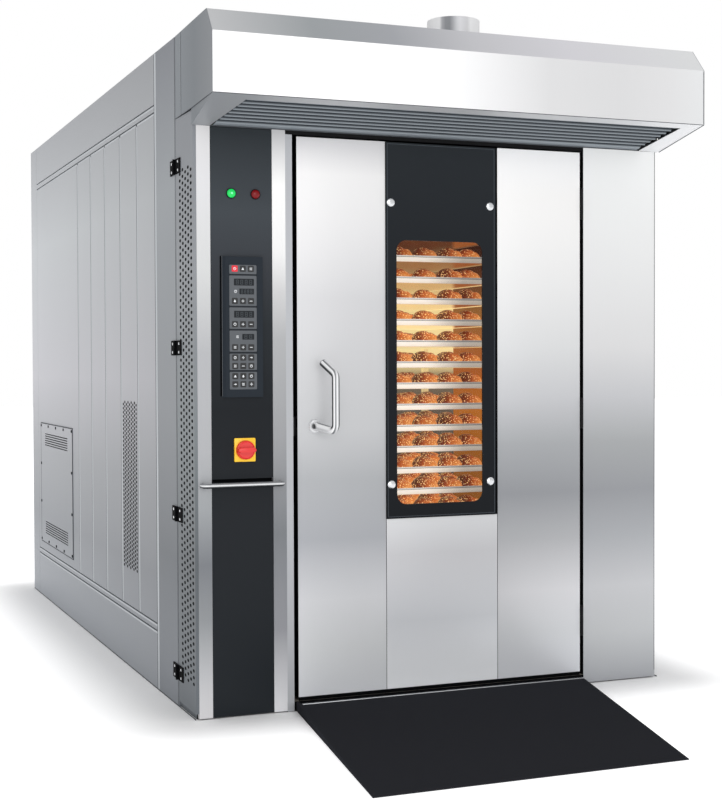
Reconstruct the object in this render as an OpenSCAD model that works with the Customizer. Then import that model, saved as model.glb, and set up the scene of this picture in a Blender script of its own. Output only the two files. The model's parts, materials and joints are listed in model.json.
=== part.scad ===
// Rotating rack oven. An insulated bakery oven whose wheeled rack hangs from a
// spindle and turns in the hot air behind a full-height hinged door.
//
// Frame: +Z up, the front faces -Y, origin on the floor under the body's centre.
// All lengths are millimetres. A "depth" is measured back from the door plane.

/* [Body] */
// Width of the body across its side panels
body_w = 1910; // [1880:5:2000]
// Depth of the body from the door plane to the rear panel
body_d = 3400; // [3350:10:3600]
// Height of the roof above the floor
body_h = 2455; // [2430:5:2600]
// Thickness of the side, rear and roof cassettes
cassette_t = 8; // [6:1:10]
// Thickness of the folded front and canopy sheets
sheet_t = 2; // [1.5:0.5:3]
// Thickness of the insulated floor slab
floor_h = 36; // [30:1:40]
// Depth of the corner post folded from the rear panel
rear_post_d = 187; // [120:1:260]
// Open joint between neighbouring panels
panel_gap = 3; // [1:0.5:5]

/* [Side ribs] */
// Depth at which the ribbed side panel starts
front_panel_d = 546; // [500:1:600]
// Width of one rib board
board_w = 306; // [280:1:320]
// Number of seams between the rib boards
board_seams = 5; // [3:1:6]
// Width of a groove or seam
groove_w = 6; // [4:1:10]
// Depth of a groove or seam
groove_t = 3; // [1:0.5:4]
// Distance from the roof to the upper line of the upper groove pair
groove_drop = 197; // [160:1:255]
// Height of the upper line of the lower groove pair
lower_groove_z = 256; // [200:1:300]
// Distance between the two lines of a groove pair
groove_pair = 28; // [20:1:40]

/* [Side access cover] */
// Distance from the cover to the rear corner post
cover_inset = 83; // [60:1:150]
// Length of the cover along the side
cover_len = 894; // [700:1:950]
// Height of the cover's lower edge
cover_z = 300; // [280:1:400]
// Height of the cover
cover_h = 650; // [500:1:800]
// Thickness of the cover plate
cover_t = 3; // [2:0.5:4]
// Length of a louvre slot
louvre_len = 640; // [500:1:700]
// Height of a louvre slot
louvre_h = 5; // [3:1:8]
// Distance between louvre slots
louvre_pitch = 12; // [10:1:16]
// Number of louvre slots in each group
louvre_count = 6; // [4:1:6]
// Head radius of a cover screw
cover_screw_r = 7; // [5:0.5:9]

/* [Front post] */
// Inset of the first bright strip from the body's side
post_edge = 12; // [10:1:20]
// Width of a bright strip
strip_w = 50; // [40:1:60]
// Depth of a bright strip's channel
strip_d = 20; // [16:1:24]
// Width of the dark control panels
control_w = 230; // [215:1:240]
// Setback of the control panels behind the strips
control_setback = 3; // [1:1:5]
// Thickness of the control panels
control_t = 12; // [10:1:14]
// Height of the middle of the joint between the two control panels
control_split_z = 846; // [800:1:880]
// Open joint between the two control panels
control_split = 12; // [8:1:16]
// Height of the post's lower edge above the floor
post_foot_z = 4; // [2:1:8]
// Width of a door jamb
jamb_w = 26; // [22:1:34]
// Height of the black head piece over the door
head_h = 14; // [10:1:14]

/* [Controller] */
// Height of the controller's lower edge
controller_z = 1143; // [1080:1:1200]
// Height of the controller
controller_h = 499; // [480:1:560]
// Width of the controller
controller_w = 150; // [140:1:160]
// Inset of the controller from the control panel's left edge
controller_inset = 41; // [30:1:60]
// How far the controller stands proud of the control panel
controller_proud = 10; // [8:1:16]
// Width of the key sheet
keys_w = 103; // [95:1:115]
// Height of the key sheet
keys_h = 443; // [443:1:460]
// Side of a square key
key_size = 22; // [18:1:24]

/* [Switch and lamps] */
// Distance from the posts' top to the indicator lamps
lamp_drop = 234; // [200:1:300]
// Distance between the indicator lamps
lamp_pitch = 90; // [60:1:110]
// Radius of a lamp's bezel
lamp_r = 17; // [12:1:20]
// Height of the main switch's centre
switch_z = 955; // [930:1:1000]
// Side of the main switch's square plate
switch_w = 84; // [70:1:90]
// Radius of the switch knob
knob_r = 34; // [28:1:38]
// Radius of the switch spindle
knob_spindle_r = 4; // [3:0.5:6]
// Height of the grab bar
grab_z = 832; // [820:1:850]
// Radius of the grab bar's rod
grab_r = 9; // [7:0.5:11]
// How far the grab bar's centre stands off the strips
grab_out = 35; // [30:1:60]

/* [Service door] */
// Depth of the service bay that the side door closes
bay_d = 232; // [220:1:260]
// Height of the service door's lower edge
service_z = 22; // [10:1:40]
// Hole diameter of the perforated field
perf_dia = 11; // [6:1:12]
// Distance between holes along a column
perf_pitch_z = 24; // [20:1:30]
// Distance between columns
perf_pitch_y = 37; // [34:1:44]
// Number of columns
perf_columns = 5; // [3:2:5]
// Height of the lowest hole
perf_z = 124; // [110:1:200]
// Distance from the door's top to the perforated field
perf_drop = 170; // [150:2:500]
// Length of a service hinge leaf
service_leaf_w = 60; // [45:1:70]
// Height of a service hinge
service_leaf_h = 54; // [50:1:90]
// Thickness of a service hinge leaf
service_leaf_t = 4; // [3:0.5:5]
// Knuckle radius of a service hinge
service_knuckle_r = 6; // [5.5:0.5:8]
// Pin radius of a service hinge
service_pin_r = 3; // [2:0.5:4]

/* [Door] */
// Width of the door
door_w = 1170; // [1150:1:1180]
// Gap between the door and its left jamb
latch_gap = 17; // [16:1:20]
// Gap between the door and the right post, which holds the hinges
hinge_gap = 16; // [16:1:20]
// Height of the door's lower edge
door_z = 47; // [44:1:55]
// Distance from the door's top to the posts' top
door_head_gap = 20; // [18:1:30]
// Thickness of the door without its seal
door_t = 80; // [70:1:90]
// Thickness of the seal
seal_t = 18; // [14:1:22]
// Width of the seal
seal_w = 14; // [10:1:20]
// Inset of the glass panel from the door's left edge
glass_x = 348; // [330:1:370]
// Width of the glass panel
glass_w = 452; // [440:1:470]
// Height of the glass panel's lower edge
glass_z = 686; // [650:1:700]
// Thickness of the glass panel
glass_t = 6; // [5:1:8]
// Inset of the window from the door's left edge
window_x = 390; // [385:1:410]
// Width of the window
window_w = 354; // [330:1:360]
// Height of the window's lower edge
window_z = 737; // [730:1:760]
// Height of the window
window_h = 981; // [940:1:990]
// Corner radius of the window
window_r = 38; // [25:1:45]
// How far the cut-out behind the glass reaches past the window
window_reveal = 20; // [10:1:21]
// How far it reaches past the window on the hinge side
window_reveal_hinge = 42; // [20:1:46]
// Radius of a glass clamp's head
stud_r = 16; // [12:0.5:17]

/* [Door hinges] */
// Knuckle radius of a door hinge
knuckle_r = 6; // [5:0.5:6]
// Pin radius of a door hinge
pin_r = 3; // [2.5:0.5:3.5]
// Height of one door hinge
door_hinge_h = 120; // [90:1:150]
// Depth of a door hinge leaf
door_leaf_d = 60; // [40:1:70]
// Height of the lowest hinge's centre
door_hinge_z = 250; // [200:1:300]
// Distance from the door's top to the highest hinge's centre
door_hinge_drop = 200; // [180:1:260]

/* [Handle] */
// Inset of the handle spindle from the door's left edge
handle_x = 65; // [60:1:75]
// Height of the handle spindle
handle_z = 1035; // [1000:1:1080]
// Radius of the handle rod
handle_r = 14; // [11:0.5:15]
// How far the grip stands off the door
handle_out = 100; // [90:1:115]
// Sideways step of the grip
handle_side = 45; // [40:1:60]
// Length of the grip
grip_len = 170; // [150:1:200]
// Radius of the handle's collar
collar_r = 25; // [22:1:28]
// Radius of the spindle inside the door
spindle_r = 8; // [7:0.5:9]
// Reach of the latch cam
cam_len = 75; // [74:1:77]

/* [Canopy] */
// How far the canopy's fascia stands out
hood_out = 297; // [280:1:320]
// How far the roof edge stands out
ridge_out = 224; // [200:1:240]
// Height of the canopy's sloped face
slope_h = 87; // [75:1:115]
// Height of the fascia
fascia_h = 205; // [195:1:210]
// How far a cheek's lower edge falls from the fascia to the body
cheek_fall = 7; // [4:1:10]
// How far the underside falls from the fascia to the posts
canopy_fall = 63; // [55:1:70]
// Bright margin in front of the baffle
baffle_front = 45; // [40:1:60]
// Bright margin behind the baffle
baffle_rear = 4; // [3:1:20]
// Bright margin at each end of the baffle
baffle_side = 90; // [70:1:110]
// How far the baffle's ends lean across
baffle_lean = 28; // [0:1:30]
// How much the canopy's fascia stands out past the body on each side
hood_flare = 14; // [0:1:20]
// Number of ridges in the baffle
baffle_ridges = 8; // [6:1:10]
// Height of a baffle ridge
ridge_h = 14; // [10:1:16]

/* [Flue] */
// Outer radius of the flue collar
flue_r = 105; // [95:1:120]
// Height of the flue collar above the roof
flue_up = 176; // [140:1:260]
// Depth of the flue's axis
flue_d = 350; // [340:1:380]
// Sideways place of the flue's axis
flue_x = 223; // [200:1:235]
// Wall of the flue collar
flue_t = 2; // [1.5:0.5:3]
// Radius of the damper spindle
damper_spindle_r = 4; // [3:0.5:5]
// Depth of the damper spindle below the roof
damper_down = 155; // [130:1:160]

/* [Chamber] */
// Inner width of the baking chamber
chamber_w = 1480; // [1440:10:1500]
// Depth of the chamber's front wall
chamber_d0 = 98.3; // [98.3:0.1:110]
// Depth of the partition behind the rack
partition_d = 1440; // [1430:5:1500]
// Depth of the back of the fan space
plenum_d = 1900; // [1850:10:1950]
// How far the chamber's ceiling lies below the door's top
ceiling_drop = 20; // [0:1:20]
// Wall of the chamber's sheets
liner_t = 3; // [2:0.5:4]
// Air gap between the insulation and the right post's cassette
wool_gap = 92; // [82:1:112]
// Width of the chamber mouth's left return beyond the door's edge
mouth_lap = 30; // [24:1:40]

/* [Fan and heaters] */
// Height of the fan's axis
fan_z = 1300; // [1200:10:1400]
// Radius of the fan wheel
fan_r = 200; // [180:5:220]
// Number of fan blades
fan_blades = 12; // [8:1:14]
// Width of the fan wheel
fan_w = 80; // [60:5:100]
// Radius of the fan shaft
fan_shaft_r = 14; // [12:1:18]
// Radius of a heater tube
heater_r = 6; // [5:0.5:8]
// Number of heater loops on each side
heater_loops = 6; // [4:1:7]

/* [Rack] */
// Width of the rack
rack_w = 900; // [880:5:920]
// Depth of the rack
rack_d = 700; // [680:5:720]
// Side of the rack's square tube
rack_tube = 25; // [20:1:30]
// Number of tray levels
tray_levels = 18; // [16:1:18]
// Distance from the highest tray's rim to the rack's top
rack_top_gap = 176.5; // [160:0.1:220]
// Height of the lowest tray's rim
tray_z = 330; // [320:0.5:340]
// Height of a tray's rim
tray_h = 26; // [20:1:30]
// Wall of a tray
tray_t = 1.5; // [1:0.5:2]
// Distance from the rack's top frame to the ceiling
rack_headroom = 100; // [80:1:110]
// Height that the spindle lifts the castors off the floor
lift = 8; // [5:1:12]
// Radius of a castor wheel
wheel_r = 62.5; // [50:0.5:65]
// Width of a castor wheel
wheel_w = 32; // [28:1:36]
// Radius of a castor axle
axle_r = 6; // [5:0.5:8]
// Trail of a swivel castor
castor_trail = 35; // [25:1:40]
// Height of a castor from tread to top plate
castor_h = 140; // [140:1:150]
// Radius of the rack spindle
spindle_shaft_r = 17.5; // [15:0.5:20]

/* [Ramp] */
// Length of the ramp in front of the door plane
ramp_len = 1105; // [900:5:1200]
// Height of the ramp's upper edge
ramp_h = 34; // [28:1:36]
// Width of the ramp's upper edge
ramp_back_w = 1181; // [1150:1:1185]
// Width of the ramp's lower edge
ramp_front_w = 1085; // [1000:5:1175]
// Sideways shift of the ramp's lower edge
ramp_shift = -203; // [-210:1:0]

/* [Services] */
// Bore radius of the cable gland
gland_bore_r = 12.5; // [10:0.5:16]
// Outer radius of the water inlet pipe
water_r = 10.5; // [8:0.5:14]
// Bore radius of the water inlet pipe
water_bore_r = 7.5; // [5:0.5:8]
// Height of the water inlet
water_z = 300; // [280:5:400]

/* [Fits] */
// Radial clearance of a running fit
run_fit = 0.05; // [0.02:0.01:0.1]
// Clearance of a piece set in a hole of its neighbour
seat_gap = 0.3; // [0.2:0.1:0.5]
// Joint between neighbouring slabs and plates
joint_gap = 0.5; // [0.3:0.1:0.8]

/* [Hidden] */
$fn = 48;

eps = 0.01;
left_x = -body_w / 2;
right_x = body_w / 2;
front_y = -body_d / 2;
inner_x = right_x - cassette_t;
rear_in_d = body_d - cassette_t;
roof_in_z = body_h - cassette_t;
ribs_end_d = body_d - rear_post_d;
cover_d = ribs_end_d - cover_inset - cover_len;
upper_groove_z = body_h - groove_drop;
fascia_top_z = body_h - slope_h;
fascia_z = fascia_top_z - fascia_h;
cheek_z = fascia_z - cheek_fall;
post_top_z = fascia_z - canopy_fall;

// Front layout, from the left
strip_x = [left_x + post_edge, left_x + post_edge + strip_w + control_w];
control_x = left_x + post_edge + strip_w;
post_x = strip_x[1] + strip_w;
door_x = post_x + jamb_w + latch_gap;
door_end_x = door_x + door_w;
right_post_x = door_end_x + hinge_gap;
jamb_end_x = right_post_x + jamb_w;
control_back_d = control_setback + control_t;

// Door
door_top_z = post_top_z - door_head_gap;
glass_end_x = door_x + glass_x + glass_w;
glass_seam = 10;
core_t = door_t - 2 * sheet_t;
hinge_axis = [door_end_x + hinge_gap / 2, 1];
top_hinge_z = door_top_z - door_hinge_drop;
hinge_heights = [door_hinge_z, (door_hinge_z + top_hinge_z) / 2, top_hinge_z];
handle_axis_x = door_x + handle_x;
cam_d = [32, 44];
cam_slot = 4;

// Service door hinges
service_axis_x = left_x - service_knuckle_r - 0.5;
service_top_z = cheek_z - 2;
service_h = service_top_z - service_z;
service_hinges = [for (f = [107, 690, 1299, 1959]) service_z + service_h * f / 2132];
perf_h = service_top_z - perf_z - perf_drop;
lamp_z = post_top_z - lamp_drop;

// Canopy
baffle_d = [baffle_front - hood_out, -baffle_rear];
hood_d = [-hood_out, bay_d - 2];

// Chamber and rack
chamber_x = chamber_w / 2;
ceiling_z = door_top_z - ceiling_drop;
insulation_t = inner_x - post_edge - wool_gap - chamber_x - liner_t;
rack_top_z = ceiling_z - rack_headroom;
tray_pitch = (rack_top_z - rack_top_gap - tray_z) / (tray_levels - 1);
wall_d = chamber_d0 + liner_t;
rack_axis_d = (wall_d + partition_d) / 2;
castor_top_z = floor_h + lift + castor_h;
rack_base_z = castor_top_z + rack_tube;
castor_in = 65;
castor_x = rack_w / 2 - castor_in;
castor_y = rack_d / 2 - castor_in;
wheel_z = floor_h + lift + wheel_r;
bearing_top_z = ceiling_z + liner_t + insulation_t + 30;
hanger_z = rack_top_z + 20;
hanger_bar = 30;

bay_wall = 60;
switchgear_z = 700;
switchgear_h = 800;
lamp_box = [55, 45, 300];
lamp_box_z = 1350;

// Fan space
fan_d = partition_d + 60;
motor_r = 120;
motor_len = 314;
motor_flange = [160, 16];
motor_box = [120, 100, 65];
shaft_in = 120;
loop_h = 1500;
loop_z = 250;
loop_gap = 34;
loop_r = 20;
loop_start = 110;
steam_w = 520;
steam_d = 200;
steam_h = 604;
steam_troughs = 6;
castor_plate_t = 4;
castor_plate = [120, 140];
fork_w = 48;
insulation_back_d = plenum_d + insulation_t;

// Half the canopy's width at a depth
function canopy_x(d) = right_x + hood_flare * (hood_d[1] - d) / (hood_d[1] - hood_d[0]);
function canopy_z(d) = fascia_z + (d + hood_out) * (post_top_z - fascia_z) / hood_out;

// A block between two places in x, depth and z
module block(x, d, z) {
    translate([x[0], front_y + d[0], z[0]])
        cube([x[1] - x[0], d[1] - d[0], z[1] - z[0]]);
}

// A prism along x whose outline is a list of [depth, z]
module side_prism(x, outline) {
    translate([x[0], front_y, 0])
        rotate([90, 0, 90])
            linear_extrude(x[1] - x[0])
                polygon(outline);
}

// A prism along z whose outline is a list of [x, depth]
module plan_prism(z, outline) {
    translate([0, front_y, z[0]])
        linear_extrude(z[1] - z[0])
            polygon(outline);
}

// A cylinder along the depth, from its front end
module depth_cylinder(x, z, d, r) {
    translate([x, front_y + d[0], z])
        rotate([-90, 0, 0])
            cylinder(h = d[1] - d[0], r = r);
}

// A cylinder along x
module cross_cylinder(x, d, z, r) {
    translate([x[0], front_y + d, z])
        rotate([0, 90, 0])
            cylinder(h = x[1] - x[0], r = r);
}

// A vertical cylinder
module post_cylinder(x, d, z, r) {
    translate([x, front_y + d, z[0]])
        cylinder(h = z[1] - z[0], r = r);
}

// A straight round rod between two points
module rod(a, b, r) {
    run = b - a;
    length = norm(run);
    translate(a)
        rotate([0, acos(run[2] / length), atan2(run[1], run[0])])
            cylinder(h = length, r = r);
}

function unit(v) = v / norm(v);
// Half of the turn that a path makes at b, and how far the bend reaches from b
function half_turn(a, b, c) = acos(unit(b - a) * unit(c - b)) / 2;
function bend_reach(a, b, c, bend) = bend * tan(half_turn(a, b, c));

// The bend of a rod at b, on its way from a to c
module elbow(a, b, c, r, bend) {
    turn = 2 * half_turn(a, b, c);
    ahead = unit(b - a);
    inward = unit(unit(c - b) - ahead * cos(turn));
    up = cross(-inward, ahead);
    mid = b - ahead * bend_reach(a, b, c, bend) + inward * bend;
    multmatrix([for (k = [0 : 2]) [-inward[k], ahead[k], up[k], mid[k]]])
        rotate_extrude(angle = turn)
            translate([bend, 0])
                circle(r = r);
}

// A rod with even bends that follows a list of [x, depth, z]
module bent_rod(points, r, bend) {
    p = [for (q = points) q + [0, front_y, 0]];
    last = len(p) - 1;
    reach = [for (i = [0 : last])
        i == 0 || i == last ? 0 : bend_reach(p[i - 1], p[i], p[i + 1], bend)];
    lap = 0.4;
    for (i = [1 : last]) {
        way = unit(p[i] - p[i - 1]);
        rod(p[i - 1] + way * (i == 1 ? 0 : reach[i - 1] - lap),
            p[i] - way * (i == last ? 0 : reach[i] - lap), r);
    }
    for (i = [1 : last - 1])
        elbow(p[i - 1], p[i], p[i + 1], r - 0.1, bend);
}

// ---------------------------------------------------------------- structure

module floor_slab() {
    color("dimgray") {
        block([-inner_x, inner_x], [bay_d, rear_in_d], [0, floor_h]);
        block([-inner_x, inner_x - post_edge], [strip_d, bay_d + eps], [0, floor_h]);
        block([post_x, right_post_x], [0, strip_d + eps], [0, floor_h]);
    }
}

module grooves(x, d, z) {
    for (pair = [upper_groove_z, lower_groove_z], line = [0, groove_pair])
        block(x, d, [pair - line - groove_w / 2, pair - line + groove_w / 2]);
    for (i = [1 : board_seams])
        block(x, [front_panel_d + i * board_w - groove_w / 2,
                  front_panel_d + i * board_w + groove_w / 2], z);
}

module ribbed_panel(x, groove_x) {
    difference() {
        block(x, [front_panel_d + panel_gap, ribs_end_d], [0, body_h]);
        grooves(groove_x, [front_panel_d, ribs_end_d + eps],
                [lower_groove_z, upper_groove_z - groove_pair]);
    }
}

module left_cladding() {
    outer = [left_x, left_x + cassette_t];
    color("lightslategray") {
        block(outer, [bay_d + 2, front_panel_d], [0, body_h]);
        difference() {
            ribbed_panel(outer, [left_x - eps, left_x + groove_t]);
            for (z = louvre_bases())
                block([left_x - eps, left_x + cassette_t + eps], louvre_span(),
                      [z, z + (louvre_count - 1) * louvre_pitch + louvre_h]);
        }
    }
}

module right_cladding() {
    color("lightslategray")
        ribbed_panel([inner_x, right_x], [right_x - groove_t, right_x + eps]);
}

module right_post_panel() {
    side = [inner_x - post_edge, right_x - post_edge];
    bay_z = [post_foot_z, post_top_z - joint_gap];
    color("silver") {
        block([right_post_x, side[1]], [0, sheet_t], [post_foot_z, post_top_z]);
        block(side, [sheet_t + joint_gap, bay_d - joint_gap], bay_z);
        block([side[1] - eps, right_x], [bay_d - joint_gap - sheet_t, bay_d - joint_gap],
              bay_z);
        block([inner_x, right_x], [sheet_t + joint_gap, bay_d - joint_gap],
              [bay_z[1] - eps, service_top_z]);
        block([inner_x, right_x], [bay_d + joint_gap, front_panel_d], [0, body_h]);
    }
}

module rear_panel() {
    returns = [[left_x, left_x + cassette_t], [inner_x, right_x]];
    color("lightslategray")
        difference() {
            union() {
                block([left_x, right_x], [rear_in_d, body_d], [0, body_h]);
                for (x = returns)
                    block(x, [ribs_end_d + panel_gap, body_d], [0, body_h]);
            }
            for (pair = [upper_groove_z, lower_groove_z], line = [0, groove_pair])
                block([-inner_x, inner_x], [body_d - groove_t, body_d + eps],
                      [pair - line - groove_w / 2, pair - line + groove_w / 2]);
            for (i = [-2 : 2])
                block([i * board_w - groove_w / 2, i * board_w + groove_w / 2],
                      [body_d - groove_t, body_d + eps],
                      [lower_groove_z, upper_groove_z - groove_pair]);
            depth_cylinder(water_x, water_z, [rear_in_d - 1, body_d + 1], water_r + seat_gap);
            depth_cylinder(gland_x, gland_z, [rear_in_d - 1, body_d + 1],
                           gland_r + seat_gap);
        }
}

module roof_panel() {
    color("lightslategray")
        difference() {
            block([-inner_x, inner_x], [bay_d, rear_in_d], [roof_in_z, body_h]);
            post_cylinder(flue_x, flue_d, [roof_in_z - 1, body_h + 1], flue_r + seat_gap);
        }
}

function louvre_span() =
    [cover_d + (cover_len - louvre_len) / 2, cover_d + (cover_len + louvre_len) / 2];
function louvre_bases() = [cover_z + 55, cover_z + cover_h - 120];

module access_cover() {
    color("gray")
        difference() {
            block([left_x - cover_t, left_x], [cover_d, cover_d + cover_len],
                  [cover_z, cover_z + cover_h]);
            for (z = louvre_bases(), i = [0 : louvre_count - 1])
                block([left_x - cover_t - 1, left_x + 1], louvre_span(),
                      [z + i * louvre_pitch, z + i * louvre_pitch + louvre_h]);
        }
}

module cover_screws() {
    inset = 16;
    along = [for (i = [0 : 4]) cover_d + inset + i * (cover_len - 2 * inset) / 4];
    up = [for (i = [0 : 3]) cover_z + inset + i * (cover_h - 2 * inset) / 3];
    head = [left_x - cover_t - 3, left_x - cover_t];
    color("silver") {
        for (d = along, z = [up[0], up[3]])
            cross_cylinder(head, d, z, cover_screw_r);
        for (d = [along[0], along[4]], z = [up[1], up[2]])
            cross_cylinder(head, d, z, cover_screw_r);
    }
}

module insulation() {
    side_d = [wall_d, insulation_back_d];
    side_x = chamber_x + liner_t;
    top_z = ceiling_z + liner_t;
    walls_top = top_z - joint_gap;
    color("khaki") {
        for (x = [[-side_x - insulation_t, -side_x], [side_x, side_x + insulation_t]])
            block(x, side_d, [floor_h, walls_top]);
        difference() {
            block([-side_x - insulation_t, side_x + insulation_t], side_d,
                  [top_z, top_z + insulation_t]);
            post_cylinder(flue_x, flue_d, [top_z - 1, top_z + insulation_t + 1],
                          flue_r + seat_gap);
            post_cylinder(0, rack_axis_d, [top_z - 1, top_z + insulation_t + 1],
                          bearing_r + seat_gap);
        }
        difference() {
            block([-side_x + joint_gap, side_x - joint_gap], [plenum_d, insulation_back_d],
                  [floor_h, walls_top]);
            depth_cylinder(0, fan_z, [plenum_d - 1, insulation_back_d + 1], 2 * fan_shaft_r);
            depth_cylinder(water_x, water_z, [plenum_d - 1, insulation_back_d + 1],
                           pipe_r + seat_gap);
        }
        block([-side_x - bay_wall, post_x], [strip_d, chamber_d0], [floor_h, ceiling_z]);
        block([jamb_end_x, inner_x - post_edge], [sheet_t, chamber_d0], [floor_h, ceiling_z]);
    }
}

module chamber_liner() {
    walls_top = ceiling_z - joint_gap;
    slot_z = 250;
    slot_pitch = (ceiling_z - slot_z - 210) / 8;
    color("gainsboro") {
        for (x = [[-chamber_x - liner_t, -chamber_x], [chamber_x, chamber_x + liner_t]])
            block(x, [wall_d, plenum_d], [floor_h, walls_top]);
        difference() {
            block([-chamber_x - liner_t, chamber_x + liner_t], [wall_d, plenum_d],
                  [ceiling_z, ceiling_z + liner_t]);
            post_cylinder(flue_x, flue_d, [ceiling_z - 1, ceiling_z + liner_t + 1],
                          flue_r - flue_t);
            post_cylinder(0, rack_axis_d, [ceiling_z - 1, ceiling_z + liner_t + 1],
                          spindle_shaft_r + 5);
        }
        difference() {
            block([-chamber_x + joint_gap, chamber_x - joint_gap],
                  [partition_d, partition_d + liner_t], [floor_h, walls_top]);
            depth_cylinder(0, fan_z, [partition_d - 1, partition_d + liner_t + 1],
                           fan_r * 0.9);
            for (side = [-1, 1], i = [0 : 8])
                block([side * (chamber_x - 80) - 40, side * (chamber_x - 80) + 40],
                      [partition_d - 1, partition_d + liner_t + 1],
                      [slot_z + i * slot_pitch, slot_z + i * slot_pitch + 20]);
        }
    }
}

// ---------------------------------------------------------------- heat and air

module heater_bank() {
    start = fan_r + loop_start;
    reach = start + (heater_loops - 1) * loop_gap + loop_r;
    top_z = loop_z + loop_h;
    color("dimgray")
        for (side = [-1, 1]) {
            for (i = [0 : heater_loops - 1]) {
                x = side * (start + i * loop_gap);
                for (d = [0, 2 * loop_r])
                    post_cylinder(x, fan_d + loop_r + d, [loop_z, top_z], heater_r);
                translate([x, front_y + fan_d + 2 * loop_r, loop_z])
                    rotate([0, 90, 0])
                        rotate([0, 0, -90])
                            rotate_extrude(angle = 180)
                                translate([loop_r, 0])
                                    circle(r = heater_r);
            }
            block(side > 0 ? [start - loop_r, reach] : [-reach, loop_r - start],
                  [partition_d + liner_t, fan_d + 4 * loop_r], [top_z, top_z + 2 * loop_r]);
        }
}

module fan_motor() {
    face_d = insulation_back_d + motor_flange[1];
    color("slategray")
        difference() {
            union() {
                depth_cylinder(0, fan_z, [insulation_back_d, face_d], motor_flange[0]);
                depth_cylinder(0, fan_z, [face_d, face_d + motor_len], motor_r);
                block([-motor_box[0] / 2, motor_box[0] / 2],
                      [face_d + 64, face_d + 64 + motor_box[1]],
                      [fan_z + motor_r - 20, fan_z + motor_r - 20 + motor_box[2]]);
            }
            depth_cylinder(0, fan_z, [insulation_back_d - 1, insulation_back_d + shaft_in + 10],
                           fan_shaft_r + run_fit);
        }
}

module fan_shaft() {
    color("silver")
        depth_cylinder(0, fan_z, [fan_d, insulation_back_d + shaft_in], fan_shaft_r);
}

module fan_wheel() {
    hub_r = 32;
    color("darkgray")
        difference() {
            union() {
                depth_cylinder(0, fan_z, [fan_d + fan_w - 4, fan_d + fan_w], fan_r);
                depth_cylinder(0, fan_z, [fan_d + 4, fan_d + fan_w], hub_r);
                translate([0, front_y + fan_d, fan_z])
                    for (i = [0 : fan_blades - 1])
                        rotate([0, i * 360 / fan_blades, 0])
                            translate([fan_r * 0.5, 0, -1.5])
                                cube([fan_r * 0.45, fan_w - 4 + eps, 3]);
            }
            depth_cylinder(0, fan_z, [fan_d, fan_d + fan_w + 1], fan_shaft_r);
        }
}

water_x = -150;
pipe_r = water_r - 1.5;
gland_x = 500;
gland_z = 420;
gland_r = gland_bore_r + 5;

module steam_generator() {
    x = [-steam_w / 2, steam_w / 2];
    box_d = [partition_d + liner_t + 20, partition_d + liner_t + 20 + steam_d];
    top_z = floor_h + steam_h;
    wall = 4;
    pitch = 0.14 * steam_h;
    color("gray") {
        for (e = [x[0], x[1] - wall])
            block([e, e + wall], box_d, [floor_h, top_z]);
        for (i = [0 : steam_troughs - 1])
            let (z = floor_h + steam_h * 0.09 + i * pitch)
                side_prism([x[0] + wall, x[1] - wall],
                           [[box_d[0] + 10, z + 20], [box_d[1] - 10, z],
                            [box_d[1] - 10, z + 6], [box_d[0] + 10, z + 26]]);
        block([x[0] + wall, x[1] - wall], [box_d[1] - wall, box_d[1]], [floor_h + 24, top_z]);
        difference() {
            union() {
                depth_cylinder(water_x, water_z, [box_d[1] + joint_gap, body_d + 30], pipe_r);
                depth_cylinder(water_x, water_z, [body_d + 1, body_d + 30], water_r);
            }
            depth_cylinder(water_x, water_z, [box_d[1], body_d + 31], water_bore_r);
        }
    }
}

module cable_gland() {
    color("dimgray")
        difference() {
            union() {
                depth_cylinder(gland_x, gland_z, [rear_in_d - 12, body_d + 26], gland_r);
                translate([gland_x, front_y + body_d, gland_z])
                    rotate([-90, 0, 0])
                        cylinder(h = 12, r = gland_r + 7, $fn = 6);
            }
            depth_cylinder(gland_x, gland_z, [rear_in_d - 13, body_d + 27], gland_bore_r);
        }
}

module chamber_lamp() {
    x = chamber_x - 5;
    color("lightyellow")
        block([x - lamp_box[0], x], [wall_d, wall_d + lamp_box[1]],
              [lamp_box_z, lamp_box_z + lamp_box[2]]);
}

// ---------------------------------------------------------------- canopy and flue

// Corners of a sheet in plan that follows the canopy's flared side, between two insets
function flared(side, a, b) = [
    for (q = [[a, 1], [a, 0], [b, 0], [b, 1]])
        [side * (canopy_x(hood_d[q[1]]) - q[0]), hood_d[q[1]]]
];

// A baffle-shaped outline in plan, smaller by `clear` at its ends
function baffle_plan(clear, d) = [
    [left_x + baffle_side - baffle_lean + clear, d[1]],
    [left_x + baffle_side + baffle_lean + clear, d[0]],
    [right_x - baffle_side + baffle_lean - clear, d[0]],
    [right_x - baffle_side - clear, d[1]]
];

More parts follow.
